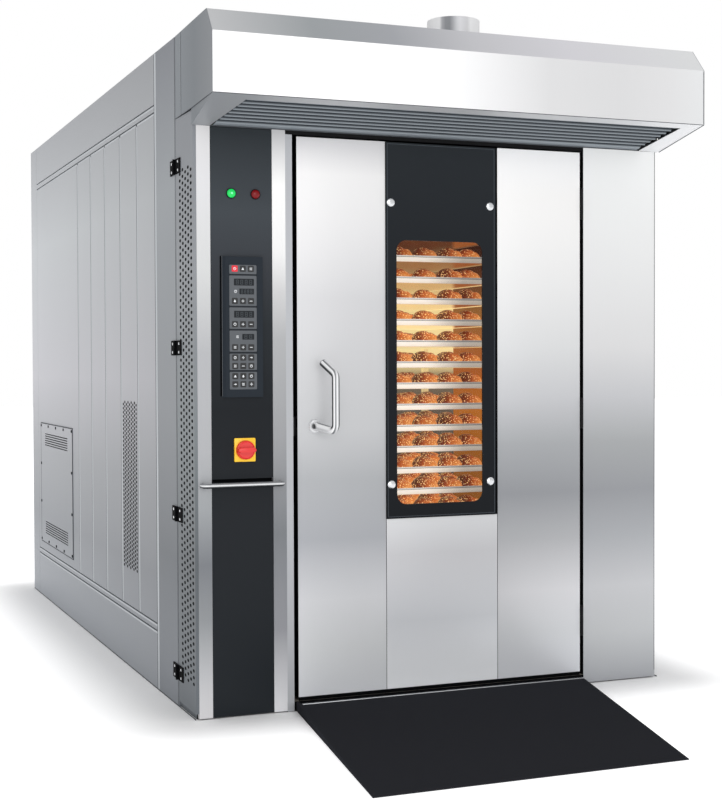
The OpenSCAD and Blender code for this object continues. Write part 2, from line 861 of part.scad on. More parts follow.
module hood_shell() {
    wide = right_x + hood_flare;
    rear_d = hood_d[1];
    z = [post_top_z - 1, body_h + 1];
    color("silver") {
        intersection() {
            union() {
                side_prism([-wide, wide],
                           [[rear_d, body_h], [-ridge_out, body_h], [-hood_out, fascia_top_z],
                            [-hood_out, fascia_z], [-hood_out + sheet_t, fascia_z],
                            [-hood_out + sheet_t, fascia_top_z - sheet_t],
                            [-ridge_out + sheet_t, body_h - sheet_t],
                            [rear_d, body_h - sheet_t]]);
                difference() {
                    side_prism([-wide, wide],
                               [[-hood_out, fascia_z], [0, post_top_z],
                                [0, post_top_z + sheet_t], [-hood_out, fascia_z + sheet_t]]);
                    plan_prism(z, baffle_plan(0, baffle_d));
                }
            }
            plan_prism(z, [for (q = [[-1, 1], [-1, 0], [1, 0], [1, 1]])
                [q[0] * (canopy_x(hood_d[q[1]]) - sheet_t), hood_d[q[1]]]]);
        }
        block([strip_x[0], right_x - post_edge], [-eps, chamber_d0],
              [post_top_z, post_top_z + sheet_t]);
        for (side = [-1, 1])
            intersection() {
                side_prism([-wide, wide], [[-hood_out, fascia_z], [0, post_top_z], [0, cheek_z]]);
                plan_prism(z, flared(side, sheet_t, 2 * sheet_t));
            }
    }
}

module hood_cheeks() {
    outline = [[hood_d[1], cheek_z], [hood_d[1], body_h], [-ridge_out, body_h],
               [-hood_out, fascia_top_z], [-hood_out, fascia_z], [0, cheek_z]];
    color("gray")
        for (side = [-1, 1])
            intersection() {
                side_prism([-right_x - hood_flare - 1, right_x + hood_flare + 1], outline);
                plan_prism([fascia_z - 100, body_h + 1], flared(side, 0, sheet_t));
            }
}

module hood_baffle() {
    lap = [8, baffle_rear - 1];
    end_gap = 10;
    rise = sheet_t + 1;
    pitch = (baffle_d[1] - baffle_d[0] - 2) / baffle_ridges;
    low = [for (i = [0 : baffle_ridges - 1], k = [0, 1])
        let (d = baffle_d[0] + 1 + (i + 0.35 * k) * pitch)
        [d, canopy_z(d) + rise + (1 - k) * ridge_h]];
    lip = sheet_t + 0.1;
    path = concat([for (d = [baffle_d[0] - lap[0], baffle_d[0] - 3]) [d, canopy_z(d) + lip]],
                  low,
                  [for (d = [baffle_d[1], baffle_d[1] + lap[1]]) [d, canopy_z(d) + lip]]);
    back = [for (i = [len(path) - 1 : -1 : 0]) path[i] + [0, sheet_t]];
    color("dimgray")
        intersection() {
            side_prism([left_x, right_x], concat(path, back));
            plan_prism([post_top_z, body_h],
                       baffle_plan(end_gap, baffle_d + [-lap[0], lap[1]]));
        }
}

module flue_collar() {
    top_z = body_h + flue_up;
    color("gainsboro")
        difference() {
            union() {
                post_cylinder(flue_x, flue_d, [ceiling_z + liner_t, top_z], flue_r);
                post_cylinder(flue_x, flue_d, [body_h, body_h + 3], flue_r + 35);
            }
            post_cylinder(flue_x, flue_d, [ceiling_z, top_z - 5], flue_r - flue_t);
            post_cylinder(flue_x, flue_d, [top_z - 6, top_z + 1], flue_r - flue_t - 2);
            cross_cylinder([flue_x - flue_r - 1, flue_x + flue_r + 1], flue_d,
                           body_h - damper_down, damper_spindle_r + run_fit);
        }
}

module flue_damper() {
    z = body_h - damper_down;
    disc_r = flue_r - flue_t - 1.5;
    lever_x = flue_x + flue_r + 20;
    color("darkgray") {
        cross_cylinder([flue_x - flue_r - 12, lever_x + 6], flue_d, z, damper_spindle_r);
        depth_cylinder(flue_x, z, [flue_d - 1.5, flue_d + 1.5], disc_r);
        block([lever_x, lever_x + 6], [flue_d - 60, flue_d + 8], [z - 8, z + 8]);
    }
}

// ---------------------------------------------------------------- front post

module post_strips() {
    color("whitesmoke")
        for (x = strip_x)
            difference() {
                block([x, x + strip_w], [0, strip_d], [post_foot_z, post_top_z]);
                block([x + sheet_t, x + strip_w - sheet_t], [sheet_t, strip_d + 1],
                      [post_foot_z - 1, post_top_z + 1]);
            }
}

module control_panels() {
    x = [control_x, control_x + control_w];
    d = [control_setback, control_back_d];
    color("darkslategray") {
        difference() {
            block(x, d, [control_split_z + control_split / 2, post_top_z - 2]);
            depth_cylinder(switch_x, switch_z, [0, control_back_d + 1],
                           knob_spindle_r + 2);
            for (lx = lamp_x)
                depth_cylinder(lx, lamp_z, [0, control_back_d + 1], lamp_r - 5 + seat_gap);
        }
        block(x, d, [post_foot_z, control_split_z - control_split / 2]);
    }
}

controller_x = control_x + controller_inset;
keys_x = controller_x + 25;
keys_z = controller_z + (controller_h - keys_h) / 2;
keys_recess = 2;
switch_x = control_x + 123;
lamp_x = [control_x + 78, control_x + 78 + lamp_pitch];
key_rows = [14.5, 129, 211.5, 293.5, 330, 360, 396, 425];
key_block_tops = [0, 38, 151, 233, 315, 380];
key_block_ends = [33, 146, 228, 309, 374, 443];

module controller_frame() {
    front_d = control_setback - controller_proud;
    color("midnightblue")
        difference() {
            plan_prism([controller_z, controller_z + controller_h],
                       [[controller_x, control_setback], [controller_x + 12, front_d],
                        [controller_x + controller_w, front_d],
                        [controller_x + controller_w, control_setback]]);
            block([keys_x, keys_x + keys_w], [front_d - 1, front_d + keys_recess],
                  [keys_z, keys_z + keys_h]);
        }
}

module controller_keys() {
    back_d = control_setback - controller_proud + keys_recess;
    sheet_d = back_d - 1;
    top_z = keys_z + keys_h;
    color("gray") {
        block([keys_x, keys_x + keys_w], [sheet_d, back_d], [keys_z, top_z]);
        for (i = [0 : len(key_block_tops) - 1])
            block([keys_x, keys_x + keys_w], [sheet_d - 0.6, sheet_d + eps],
                  [top_z - key_block_ends[i], top_z - key_block_tops[i]]);
        for (row = key_rows, column = [0 : 2])
            block([keys_x + 21 + column * 30 - key_size / 2,
                   keys_x + 21 + column * 30 + key_size / 2],
                  [sheet_d - 1.4, sheet_d + eps],
                  [top_z - row - key_size / 2, top_z - row + key_size / 2]);
    }
}

module indicator_lamps() {
    color("seagreen")
        for (x = lamp_x) {
            depth_cylinder(x, lamp_z, [control_setback - 4, control_setback], lamp_r);
            depth_cylinder(x, lamp_z, [control_setback, strip_d - 1], lamp_r - 5);
            depth_cylinder(x, lamp_z, [control_setback - 13, control_setback - 4], lamp_r - 3);
        }
}

module switch_plate() {
    color("gold")
        difference() {
            block([switch_x - switch_w / 2, switch_x + switch_w / 2],
                  [control_setback - 6, control_setback],
                  [switch_z - switch_w / 2, switch_z + switch_w / 2]);
            depth_cylinder(switch_x, switch_z, [control_setback - 7, control_setback + 1],
                           knob_spindle_r + run_fit);
        }
}

module switch_knob() {
    face_d = control_setback - 6 - seat_gap;
    bar_w = 15;
    color("red") {
        depth_cylinder(switch_x, switch_z, [face_d - 16, face_d], knob_r);
        block([switch_x - knob_r, switch_x + knob_r], [face_d - 32, face_d - 15],
              [switch_z - bar_w / 2, switch_z + bar_w / 2]);
        depth_cylinder(switch_x, switch_z, [face_d - 1, strip_d - 1], knob_spindle_r);
    }
}

module grab_bar() {
    ends = [strip_x[0] + 14, strip_x[1] + 26];
    color("silver")
        bent_rod([[ends[0], 0, grab_z], [ends[0], -grab_out, grab_z],
                  [ends[1], -grab_out, grab_z], [ends[1], 0, grab_z]],
                 grab_r, grab_r + 4);
}

// ---------------------------------------------------------------- service bay

module service_door() {
    perf_d0 = bay_d / 2 - 14 - (perf_columns - 1) / 2 * perf_pitch_y;
    rows = floor(perf_h / perf_pitch_z);
    color("gray") {
        block([left_x, left_x + post_edge - joint_gap], [0, sheet_t],
              [service_z, service_top_z]);
        translate([left_x, front_y, 0])
            rotate([90, 0, 90])
                linear_extrude(cassette_t)
                    difference() {
                        translate([0, service_z])
                            square([bay_d - 2, service_top_z - service_z]);
                        for (c = [0 : perf_columns - 1], r = [0 : rows - 1])
                            translate([perf_d0 + c * perf_pitch_y,
                                       perf_z + (r + (c % 2) / 2) * perf_pitch_z])
                                circle(d = perf_dia, $fn = 16);
                    }
    }
}

// One service hinge leaf with its knuckles; side is -1 for the door, 1 for the post
module service_leaf(side, z) {
    half = service_leaf_h / 2;
    spans = side < 0 ? [[-10, 10]] : [[-half, -10.5], [10.5, half]];
    leaf_d = side < 0 ? [bay_d - service_leaf_w - 8, bay_d - 8]
                      : [bay_d + 8, bay_d + 8 + service_leaf_w];
    web_d = side < 0 ? [bay_d - 9, bay_d - 2] : [bay_d + 2, bay_d + 9];
    block([left_x - service_leaf_t, left_x], leaf_d, [z - half, z + half]);
    for (s = spans) {
        block([left_x - service_leaf_t, left_x - 0.5], web_d, [z + s[0], z + s[1]]);
        difference() {
            post_cylinder(service_axis_x, bay_d, [z + s[0], z + s[1]], service_knuckle_r);
            if (side < 0)
                post_cylinder(service_axis_x, bay_d, [z + s[0] - 1, z + s[1] + 1],
                              service_pin_r + run_fit);
        }
    }
    if (side > 0)
        post_cylinder(service_axis_x, bay_d, [z - half, z + half], service_pin_r);
}

module service_door_leaves() {
    color("black")
        for (z = service_hinges)
            service_leaf(-1, z);
}

module service_post_leaves() {
    color("black")
        for (z = service_hinges)
            service_leaf(1, z);
}

module electrics() {
    plate_x = -chamber_x - liner_t - bay_wall;
    relay_w = 0.45 * (plate_x - left_x - cassette_t);
    relay_z = [for (i = [0 : 4]) switchgear_z + 0.075 * switchgear_h * (1 + 2.33 * i)];
    color("lightgray") {
        block([plate_x - liner_t, plate_x], [strip_d + 4, chamber_d0],
              [switchgear_z, switchgear_z + switchgear_h]);
        for (z = relay_z)
            block([plate_x - liner_t - relay_w, plate_x - liner_t],
                  [strip_d + 10, chamber_d0 - 8], [z, z + 0.11 * switchgear_h]);
    }
}

// ---------------------------------------------------------------- door frame and ramp

module door_surround() {
    head_z = [post_top_z - head_h, post_top_z];
    left_return = [-chamber_x - liner_t, door_x + mouth_lap];
    right_return = [door_end_x - mouth_lap, chamber_x + liner_t];
    keeper_z = [handle_z - 35, handle_z + 35];
    jamb_inner_x = post_x + jamb_w;
    color("dimgray") {
        jamb_z = [floor_h, head_z[0] - joint_gap];
        frame_d = [sheet_t, chamber_d0 - joint_gap];
        block([post_x, jamb_inner_x], [0, frame_d[1]], jamb_z);
        block([right_post_x, jamb_end_x], frame_d, jamb_z);
        block([post_x, jamb_end_x], frame_d, head_z);
        block(left_return, [chamber_d0, wall_d], [floor_h, post_top_z]);
        block(right_return, [chamber_d0, wall_d], [floor_h, post_top_z]);
        block([left_return[1] + joint_gap, right_return[0] - joint_gap],
              [chamber_d0, wall_d], [door_top_z - mouth_lap, post_top_z]);
        block([jamb_inner_x + seat_gap, jamb_inner_x + 2], [cam_slot, 60], keeper_z);
        block([jamb_inner_x + 2 + seat_gap, jamb_inner_x + latch_gap - 4], [12, 24],
              keeper_z);
    }
}

module ramp() {
    back = [door_x - 9, door_x - 9 + ramp_back_w];
    front_mid = (back[0] + back[1]) / 2 + ramp_shift;
    front = [front_mid - ramp_front_w / 2, front_mid + ramp_front_w / 2];
    nose_h = 3;
    color("darkslategray")
        intersection() {
            side_prism([left_x, right_x], [[-ramp_len, 0], [0, 0], [0, ramp_h],
                                           [-ramp_len, nose_h]]);
            plan_prism([-1, ramp_h + 1], [[front[0], -ramp_len], [front[1], -ramp_len],
                                          [back[1], 0], [back[0], 0]]);
        }
}

// ---------------------------------------------------------------- door

module door_panels() {
    mid = [door_x + glass_x, glass_end_x];
    z = [door_z, door_top_z];
    color("whitesmoke") {
        difference() {
            block([door_x, mid[0] - 1], [0, sheet_t], z);
            depth_cylinder(handle_axis_x, handle_z, [-1, sheet_t + 1], spindle_r + 1);
        }
        block([mid[1] + glass_seam, door_end_x], [0, sheet_t], z);
        block([mid[0], mid[1] + glass_seam - 1], [0, sheet_t], [door_z, glass_z - 1]);
    }
}

// The cut-out behind the glass panel, smaller by `clear` all round
module window_hole(d, clear) {
    r = window_r;
    grow = window_reveal - clear;
    x0 = door_x + window_x;
    x = [x0 - grow, x0 + window_w + window_reveal_hinge - clear];
    z = [window_z - grow, window_z + window_h + grow];
    block([x[0] + r, x[1] - r], d, z);
    block(x, d, [z[0] + r, z[1] - r]);
    for (cx = [x[0] + r, x[1] - r], cz = [z[0] + r, z[1] - r])
        depth_cylinder(cx, cz, d, r);
}

module door_glass() {
    color("black")
        block([door_x + glass_x, glass_end_x], [sheet_t - glass_t, sheet_t],
              [glass_z, door_top_z - 2]);
}

module door_core() {
    d = [sheet_t, sheet_t + core_t];
    color("tan")
        difference() {
            block([door_x, door_end_x], d, [door_z, door_top_z]);
            window_hole([d[0] - 1, d[1] + 1], 0);
            depth_cylinder(handle_axis_x, handle_z, [d[0] - 1, d[1] + 1],
                           spindle_r + run_fit);
            block([door_x - 1, handle_axis_x + collar_r], [cam_d[0] - cam_slot,
                   cam_d[1] + cam_slot], [handle_z - cam_len - 6, handle_z + collar_r]);
        }
}

module door_liner() {
    d = [sheet_t + core_t, door_t];
    color("gainsboro")
        difference() {
            block([door_x, door_end_x], d, [door_z, door_top_z]);
            window_hole([d[0] - 1, d[1] + 1], 0);
            depth_cylinder(handle_axis_x, handle_z, [d[0] - 1, d[1] + 1],
                           spindle_r + run_fit);
        }
}

module inner_glass() {
    color("lightblue")
        window_hole([door_t - 16, door_t - 10], seat_gap);
}

stud_x = [door_x + glass_x + 18, glass_end_x - 25];
stud_z = [glass_z + 126, door_top_z - 224];

module glass_studs() {
    front_d = sheet_t - glass_t;
    color("silver")
        for (x = stud_x, z = stud_z)
            depth_cylinder(x, z, [front_d - 8, front_d], stud_r);
}

module door_seal() {
    inset = 10;
    x = [door_x + inset, door_end_x - inset];
    z = [door_z, door_top_z - inset];
    d = [door_t, door_t + seal_t];
    color("black") {
        for (e = [x[0], x[1] - seal_w])
            block([e, e + seal_w], d, z);
        for (e = [z[0], z[1] - seal_w])
            block([x[0] + seal_w + joint_gap, x[1] - seal_w - joint_gap], d,
                  [e, e + seal_w]);
    }
}

module door_leaves() {
    leaf_t = 1.5;
    color("dimgray")
        for (z = hinge_heights) {
            third = door_hinge_h / 6;
            block([door_end_x, door_end_x + leaf_t], [hinge_axis[1], door_leaf_d],
                  [z - door_hinge_h / 2, z + door_hinge_h / 2]);
            difference() {
                union() {
                    post_cylinder(hinge_axis[0], hinge_axis[1], [z - third, z + third],
                                  knuckle_r);
                    block([door_end_x, hinge_axis[0]], [hinge_axis[1], hinge_axis[1] + 3],
                          [z - third, z + third]);
                }
                post_cylinder(hinge_axis[0], hinge_axis[1], [z - third - 1, z + third + 1],
                              pin_r + run_fit);
            }
        }
}

module frame_leaves() {
    leaf_t = 1.5;
    color("dimgray")
        for (z = hinge_heights) {
            third = door_hinge_h / 6 + 0.4;
            half = door_hinge_h / 2;
            block([right_post_x - leaf_t, right_post_x], [hinge_axis[1], door_leaf_d],
                  [z - half, z + half]);
            for (s = [[-half, -third], [third, half]]) {
                post_cylinder(hinge_axis[0], hinge_axis[1], [z + s[0], z + s[1]], knuckle_r);
                block([hinge_axis[0], right_post_x], [hinge_axis[1], hinge_axis[1] + 3],
                      [z + s[0], z + s[1]]);
            }
            post_cylinder(hinge_axis[0], hinge_axis[1], [z - half, z + half], pin_r);
        }
}

// ---------------------------------------------------------------- handle

module handle_lever() {
    x = handle_axis_x;
    z = handle_z;
    color("silver") {
        depth_cylinder(x, z, [-8, door_t], spindle_r);
        bent_rod([[x, -7, z], [x, -30, z],
                  [x + handle_side, -handle_out, z - 18],
                  [x + handle_side, -handle_out, z + 16 + grip_len],
                  [x + handle_side * 0.4, -handle_out * 0.4, z + 60 + grip_len]],
                 handle_r, handle_r + 5);
    }
}

module handle_collar() {
    color("silver")
        difference() {
            union() {
                depth_cylinder(handle_axis_x, handle_z, [-4, 0], collar_r);
                depth_cylinder(handle_axis_x, handle_z, [-7 + seat_gap, -4], collar_r - 5);
            }
            depth_cylinder(handle_axis_x, handle_z, [-8, 1], spindle_r + run_fit);
        }
}

module latch_cam() {
    color("gray")
        difference() {
            union() {
                depth_cylinder(handle_axis_x, handle_z, cam_d, 20);
                block([handle_axis_x - 9, handle_axis_x + 9], cam_d,
                      [handle_z - cam_len, handle_z]);
            }
            depth_cylinder(handle_axis_x, handle_z, [cam_d[0] - 1, cam_d[1] + 1], spindle_r);
        }
}

// ---------------------------------------------------------------- rack and its drive

bearing_r = 60;

module spindle_bearing() {
    bore_r = spindle_shaft_r + run_fit;
    z0 = ceiling_z + liner_t;
    color("darkgray")
        difference() {
            union() {
                post_cylinder(0, rack_axis_d, [z0, bearing_top_z], bearing_r);
                post_cylinder(0, rack_axis_d, [bearing_top_z, bearing_top_z + 12], 95);
            }
            post_cylinder(0, rack_axis_d, [z0 - 1, bearing_top_z + 13], bore_r);
        }
}

module gearmotor() {
    z = bearing_top_z + 12;
    color("steelblue")
        difference() {
            union() {
                block([-80, 80], [rack_axis_d - 70, rack_axis_d + 70], [z, z + 110]);
                cross_cylinder([80, 300], rack_axis_d, z + 62, 55);
            }
            post_cylinder(0, rack_axis_d, [z - 1, z + 91], spindle_shaft_r + run_fit);
        }
}

module drive_shaft() {
    bar_len = 300;
    bar_z = [hanger_z, hanger_z + hanger_bar];
    color("silver") {
        post_cylinder(0, rack_axis_d, [bar_z[0], bearing_top_z + 12 + 90], spindle_shaft_r);
        block([-bar_len / 2, bar_len / 2],
              [rack_axis_d - hanger_bar / 2, rack_axis_d + hanger_bar / 2], bar_z);
    }
}

// Four posts, the tray runners, the top frame with its hanger eyes, and the base frame
module rack_frame() {
    x1 = rack_w / 2;
    x0 = x1 - rack_tube;
    d = [rack_axis_d - rack_d / 2, rack_axis_d + rack_d / 2];
    post_z = [rack_base_z + joint_gap, rack_top_z - rack_tube - joint_gap];
    color("lightgray") {
        for (e = [d[0], d[1] - rack_tube], x = [-x1, x0])
            block([x, x + rack_tube], [e, e + rack_tube], post_z);
        for (i = [0 : tray_levels - 1], side = [0, 1])
            mirror([side, 0, 0])
                translate([x0 - seat_gap, front_y + d[1], tray_z + i * tray_pitch - tray_h])
                    rotate([90, 0, 0])
                        linear_extrude(d[1] - d[0])
                            polygon([[0, -2], [0, 16], [-2, 16], [-2, 0], [-20, 0],
                                     [-20, -2]]);
        frame_ring([rack_base_z - rack_tube, rack_base_z]);
        frame_ring([rack_top_z - rack_tube, rack_top_z]);
        for (side = [-1, 1])
            difference() {
                block([side * 110 - 6, side * 110 + 6], [rack_axis_d - 35, rack_axis_d + 35],
                      [rack_top_z, hanger_z + hanger_bar + 16]);
                block([side * 110 - 7, side * 110 + 7],
                      [rack_axis_d - hanger_bar / 2 - 2, rack_axis_d + hanger_bar / 2 + 2],
                      [rack_top_z + 4, hanger_z + hanger_bar]);
            }
        for (x = [-x1, x1 - castor_plate[0]], e = [d[0], d[1] - castor_plate[1]])
            block([x, x + castor_plate[0]], [e, e + castor_plate[1]],
                  [castor_top_z, castor_top_z + castor_plate_t]);
    }
}

// A flat frame of square tube with a cross in its middle
module frame_ring(z) {
    x = rack_w / 2;
    t = rack_tube;
    d = [rack_axis_d - rack_d / 2, rack_axis_d + rack_d / 2];
    for (e = [d[0], rack_axis_d - t / 2, d[1] - t])
        block([-x, x], [e, e + t], z);
    for (e = [-x, -t / 2, x - t])
        block([e, e + t], d, z);
}

module trays() {
    gap = 2;
    x = rack_w / 2 - rack_tube - seat_gap - 2 - gap;
    d = [rack_axis_d - rack_d / 2 + 4, rack_axis_d + rack_d / 2 - 4];
    color("silver")
        for (i = [0 : tray_levels - 1]) {
            z = tray_z + i * tray_pitch;
            difference() {
                block([-x, x], d, [z - tray_h, z]);
                block([-x + tray_t, x - tray_t], [d[0] + tray_t, d[1] - tray_t],
                      [z - tray_h + tray_t, z + 1]);
            }
        }
}

// A castor's fork with its axle; the wheel stands trail behind the fork's axis
module fork(x, d, trail) {
    top = castor_top_z;
    half = wheel_w / 2 + 3;
    plate = castor_plate_t;
    reach = fork_w / 2;
    tip = fork_w / 4;
    crown = [top - 3 * plate, top - 2 * plate];
    post_cylinder(x, d, [crown[1], top], reach + 2);
    block([x - half - plate, x + half + plate], [d - reach, d + reach], crown);
    for (s = [[-half - plate, -half], [half, half + plate]])
        side_prism([x + s[0], x + s[1]],
                   [[d - reach, crown[1]], [d + reach, crown[1]], [d + trail + tip, wheel_z],
                    [d + trail, wheel_z - tip], [d + trail - tip, wheel_z]]);
    cross_cylinder([x - half - plate - 3, x + half + plate + 3], d + trail, wheel_z, axle_r);
}

module castor_forks() {
    color("gray")
        for (x = [-castor_x, castor_x])
            fork(x, rack_axis_d - castor_y, 0);
}

module swivel_fork_left() {
    color("gray")
        fork(-castor_x, rack_axis_d + castor_y - castor_trail, castor_trail);
}

module swivel_fork_right() {
    color("gray")
        fork(castor_x, rack_axis_d + castor_y - castor_trail, castor_trail);
}

module castor_wheel(x, d) {
    color("saddlebrown")
        difference() {
            union() {
                cross_cylinder([x - wheel_w / 2, x + wheel_w / 2], d, wheel_z, wheel_r);
                cross_cylinder([x - wheel_w / 2 - 2, x + wheel_w / 2 + 2], d, wheel_z, 16);
            }
            cross_cylinder([x - wheel_w / 2 - 3, x + wheel_w / 2 + 3], d, wheel_z,
                           axle_r + run_fit);
        }
}

module castor_wheel_front_left() {
    castor_wheel(-castor_x, rack_axis_d - castor_y);
}

module castor_wheel_front_right() {
    castor_wheel(castor_x, rack_axis_d - castor_y);
}

module castor_wheel_rear_left() {
    castor_wheel(-castor_x, rack_axis_d + castor_y);
}

module castor_wheel_rear_right() {
    castor_wheel(castor_x, rack_axis_d + castor_y);
}

// ---------------------------------------------------------------- output

floor_slab();
left_cladding();
right_cladding();
right_post_panel();
rear_panel();
roof_panel();
access_cover();
cover_screws();
insulation();
chamber_liner();
heater_bank();
fan_motor();
fan_shaft();
fan_wheel();
steam_generator();
cable_gland();
chamber_lamp();
hood_shell();
hood_cheeks();
hood_baffle();
flue_collar();
flue_damper();
post_strips();
control_panels();
controller_frame();
controller_keys();
indicator_lamps();
switch_plate();
switch_knob();
grab_bar();
service_door();
service_door_leaves();
service_post_leaves();
electrics();
door_surround();
ramp();
door_panels();
door_glass();
door_core();
door_liner();
inner_glass();
glass_studs();
door_seal();
door_leaves();
frame_leaves();
handle_lever();
handle_collar();
latch_cam();
drive_shaft();
gearmotor();
spindle_bearing();
rack_frame();
trays();
castor_forks();
swivel_fork_left();
swivel_fork_right();
castor_wheel_front_left();
castor_wheel_front_right();
castor_wheel_rear_left();
castor_wheel_rear_right();
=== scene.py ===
"""Looks of a rotating rack oven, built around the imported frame.

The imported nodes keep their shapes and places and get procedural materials. Panels with folded
edges, the glazing, the controller's face, lamps, knobs, handle, perforations, screws and the
baked goods are modelled here and ride on the frame's bodies.
"""

import json
import logging
import math
from dataclasses import dataclass
from enum import Enum
from typing import Callable, Iterable, Sequence

import bmesh
import bpy
from mathutils import Matrix, Vector

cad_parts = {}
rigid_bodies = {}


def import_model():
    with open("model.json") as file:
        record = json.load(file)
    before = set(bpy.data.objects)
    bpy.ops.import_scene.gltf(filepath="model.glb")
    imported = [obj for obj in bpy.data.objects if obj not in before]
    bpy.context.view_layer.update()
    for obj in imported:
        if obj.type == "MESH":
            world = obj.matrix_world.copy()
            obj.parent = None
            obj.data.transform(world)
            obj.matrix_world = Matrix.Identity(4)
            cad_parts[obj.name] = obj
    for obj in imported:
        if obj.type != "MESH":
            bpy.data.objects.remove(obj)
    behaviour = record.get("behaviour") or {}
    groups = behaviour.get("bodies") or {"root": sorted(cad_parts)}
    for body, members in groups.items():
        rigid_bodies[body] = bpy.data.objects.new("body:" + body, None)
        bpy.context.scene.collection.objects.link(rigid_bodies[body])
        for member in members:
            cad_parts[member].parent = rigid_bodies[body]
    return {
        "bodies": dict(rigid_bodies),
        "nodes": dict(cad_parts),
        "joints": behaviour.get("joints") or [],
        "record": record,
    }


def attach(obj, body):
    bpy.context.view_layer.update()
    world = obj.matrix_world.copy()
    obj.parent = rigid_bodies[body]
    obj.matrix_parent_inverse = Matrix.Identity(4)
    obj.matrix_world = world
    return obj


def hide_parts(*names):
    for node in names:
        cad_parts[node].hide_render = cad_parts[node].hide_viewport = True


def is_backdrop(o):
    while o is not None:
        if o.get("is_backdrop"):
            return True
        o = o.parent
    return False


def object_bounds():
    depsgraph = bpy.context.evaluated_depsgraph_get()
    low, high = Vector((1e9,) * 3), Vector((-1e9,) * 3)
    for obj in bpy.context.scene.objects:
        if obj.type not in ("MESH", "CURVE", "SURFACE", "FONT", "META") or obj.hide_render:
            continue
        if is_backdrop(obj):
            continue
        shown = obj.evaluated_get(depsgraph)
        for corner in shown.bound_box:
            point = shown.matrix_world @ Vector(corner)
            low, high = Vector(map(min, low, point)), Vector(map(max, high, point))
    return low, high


LOG = logging.getLogger("rack_oven")
MM = 0.001
FRONT_Y = -1.7
LEFT_X = -0.955
RIGHT_X = 0.955
# Across the handle, as the camera sees it: the chrome bands, painted reflections, are laid out
# along this.
VIEW_RIGHT = Vector((0.928, -0.373, 0.0))
BODY_TOP = 2.452
GRAIN_SCALE = 420
CLOUD_SCALE = 2.2
SEED_SCALE = 130
MATH = "ShaderNodeMath"
VECTOR_MATH = "ShaderNodeVectorMath"
MAP_RANGE = "ShaderNodeMapRange"
VECTOR = "NodeSocketVector"
COLOR = "NodeSocketColor"
FLOAT = "NodeSocketFloat"
TRAY_LEVELS = 18
TRAY_LOW = 0.330
TRAY_PITCH = 0.0855
TRAY_SINK = 0.0244
BUN_COLUMNS = (-0.340, -0.188, -0.074, 0.040, 0.154, 0.268, 0.354)
BUN_ROWS = (492, 692, 892)


def depth(mm: float) -> float:
    """Turns a depth behind the door plane into the frame's Y.

    Args:
        mm: depth in millimetres.

    Returns:
        The Y coordinate in metres.
    """
    return FRONT_Y + mm * MM


def linear(rgb: Sequence[float]) -> tuple[float, float, float, float]:
    """Turns a display colour into scene-linear values.

    Args:
        rgb: red, green and blue from 0 to 255.

    Returns:
        Linear red, green, blue and an alpha of 1.
    """
    out = []
    for value in rgb:
        c = value / 255
        out.append(c / 12.92 if c <= 0.04045 else ((c + 0.055) / 1.055) ** 2.4)
    return (out[0], out[1], out[2], 1.0)


# ------------------------------------------------------------------ finishes


class Along(Enum):
    """The frame axis that a finish's tones run along; U is the mesh's own UV."""

    X = 0
    Y = 1
    Z = 2
    U = 3


class Grain(Enum):
    """The stretch of a finish's fine surface noise along X, Y and Z."""

    NONE = (1.0, 1.0, 1.0)
    UPRIGHT = (1.0, 1.0, 0.02)
    LEVEL = (0.02, 0.02, 1.0)


Stop = tuple[float, tuple[float, float, float]]


@dataclass(frozen=True)
class Finish:
    """A procedural surface.

    Args:
        name: the material's name.
        stops: (place in metres along `along`, display colour) pairs, which can hold painted
            light and shade.
        along: axis that the tones run along.
        metallic: how metallic it is.
        roughness: how rough it is.
        grain: direction of the fine noise.
        grain_tone: share of the colour that the noise moves.
        grain_rough: how much the noise moves the roughness.
        coat: clear coat weight.
        glow: emission strength, in the surface's own colour: a lamp's light, or painted light
            on surfaces that are no lamp.
        alpha: opacity.
        bump: height of the fine noise, in millimetres.
        cloud: share of the colour that broad soft clouds move.
        specular: strength of the plain reflection.
        repeat: distance in metres after which the tones start again, or 0.
        fade: (place, factor, place, factor) by which the tone changes along fade_along: painted
            shade.
        fade_along: axis of the fade.
        fade_lean: how far the fade's place moves along X for each metre along Y.
        fade_tone: display colour that the tone fades to, instead of being dimmed, or None; a
            painted reflection where used.
        specks: display colour of scattered seeds, or None.
    """

    name: str
    stops: tuple[Stop, ...]
    along: Along = Along.Z
    metallic: float = 0.0
    roughness: float = 0.45
    grain: Grain = Grain.NONE
    grain_tone: float = 0.02
    grain_rough: float = 0.03
    coat: float = 0.0
    glow: float = 0.0
    alpha: float = 1.0
    bump: float = 0.0
    cloud: float = 0.015
    specular: float = 0.5
    repeat: float = 0.0
    fade: tuple[float, float, float, float] | None = None
    fade_along: Along = Along.X
    fade_lean: float = 0.0
    fade_tone: tuple[float, float, float] | None = None
    specks: tuple[float, float, float] | None = None


def plain(name: str, rgb: tuple[float, float, float], **settings) -> Finish:
    """A finish of one even tone.

    Args:
        name: the material's name.
        rgb: display colour.
        **settings: further fields of Finish.

    Returns:
        The finish.
    """
    return Finish(name, ((0.0, rgb), (1.0, rgb)), **settings)


STEEL = dict(metallic=0.15, roughness=0.4, grain=Grain.UPRIGHT, grain_tone=0.012, specular=0.2)
ENAMEL = dict(metallic=0.05, roughness=0.45, grain=Grain.UPRIGHT, grain_tone=0.01, specular=0.2)
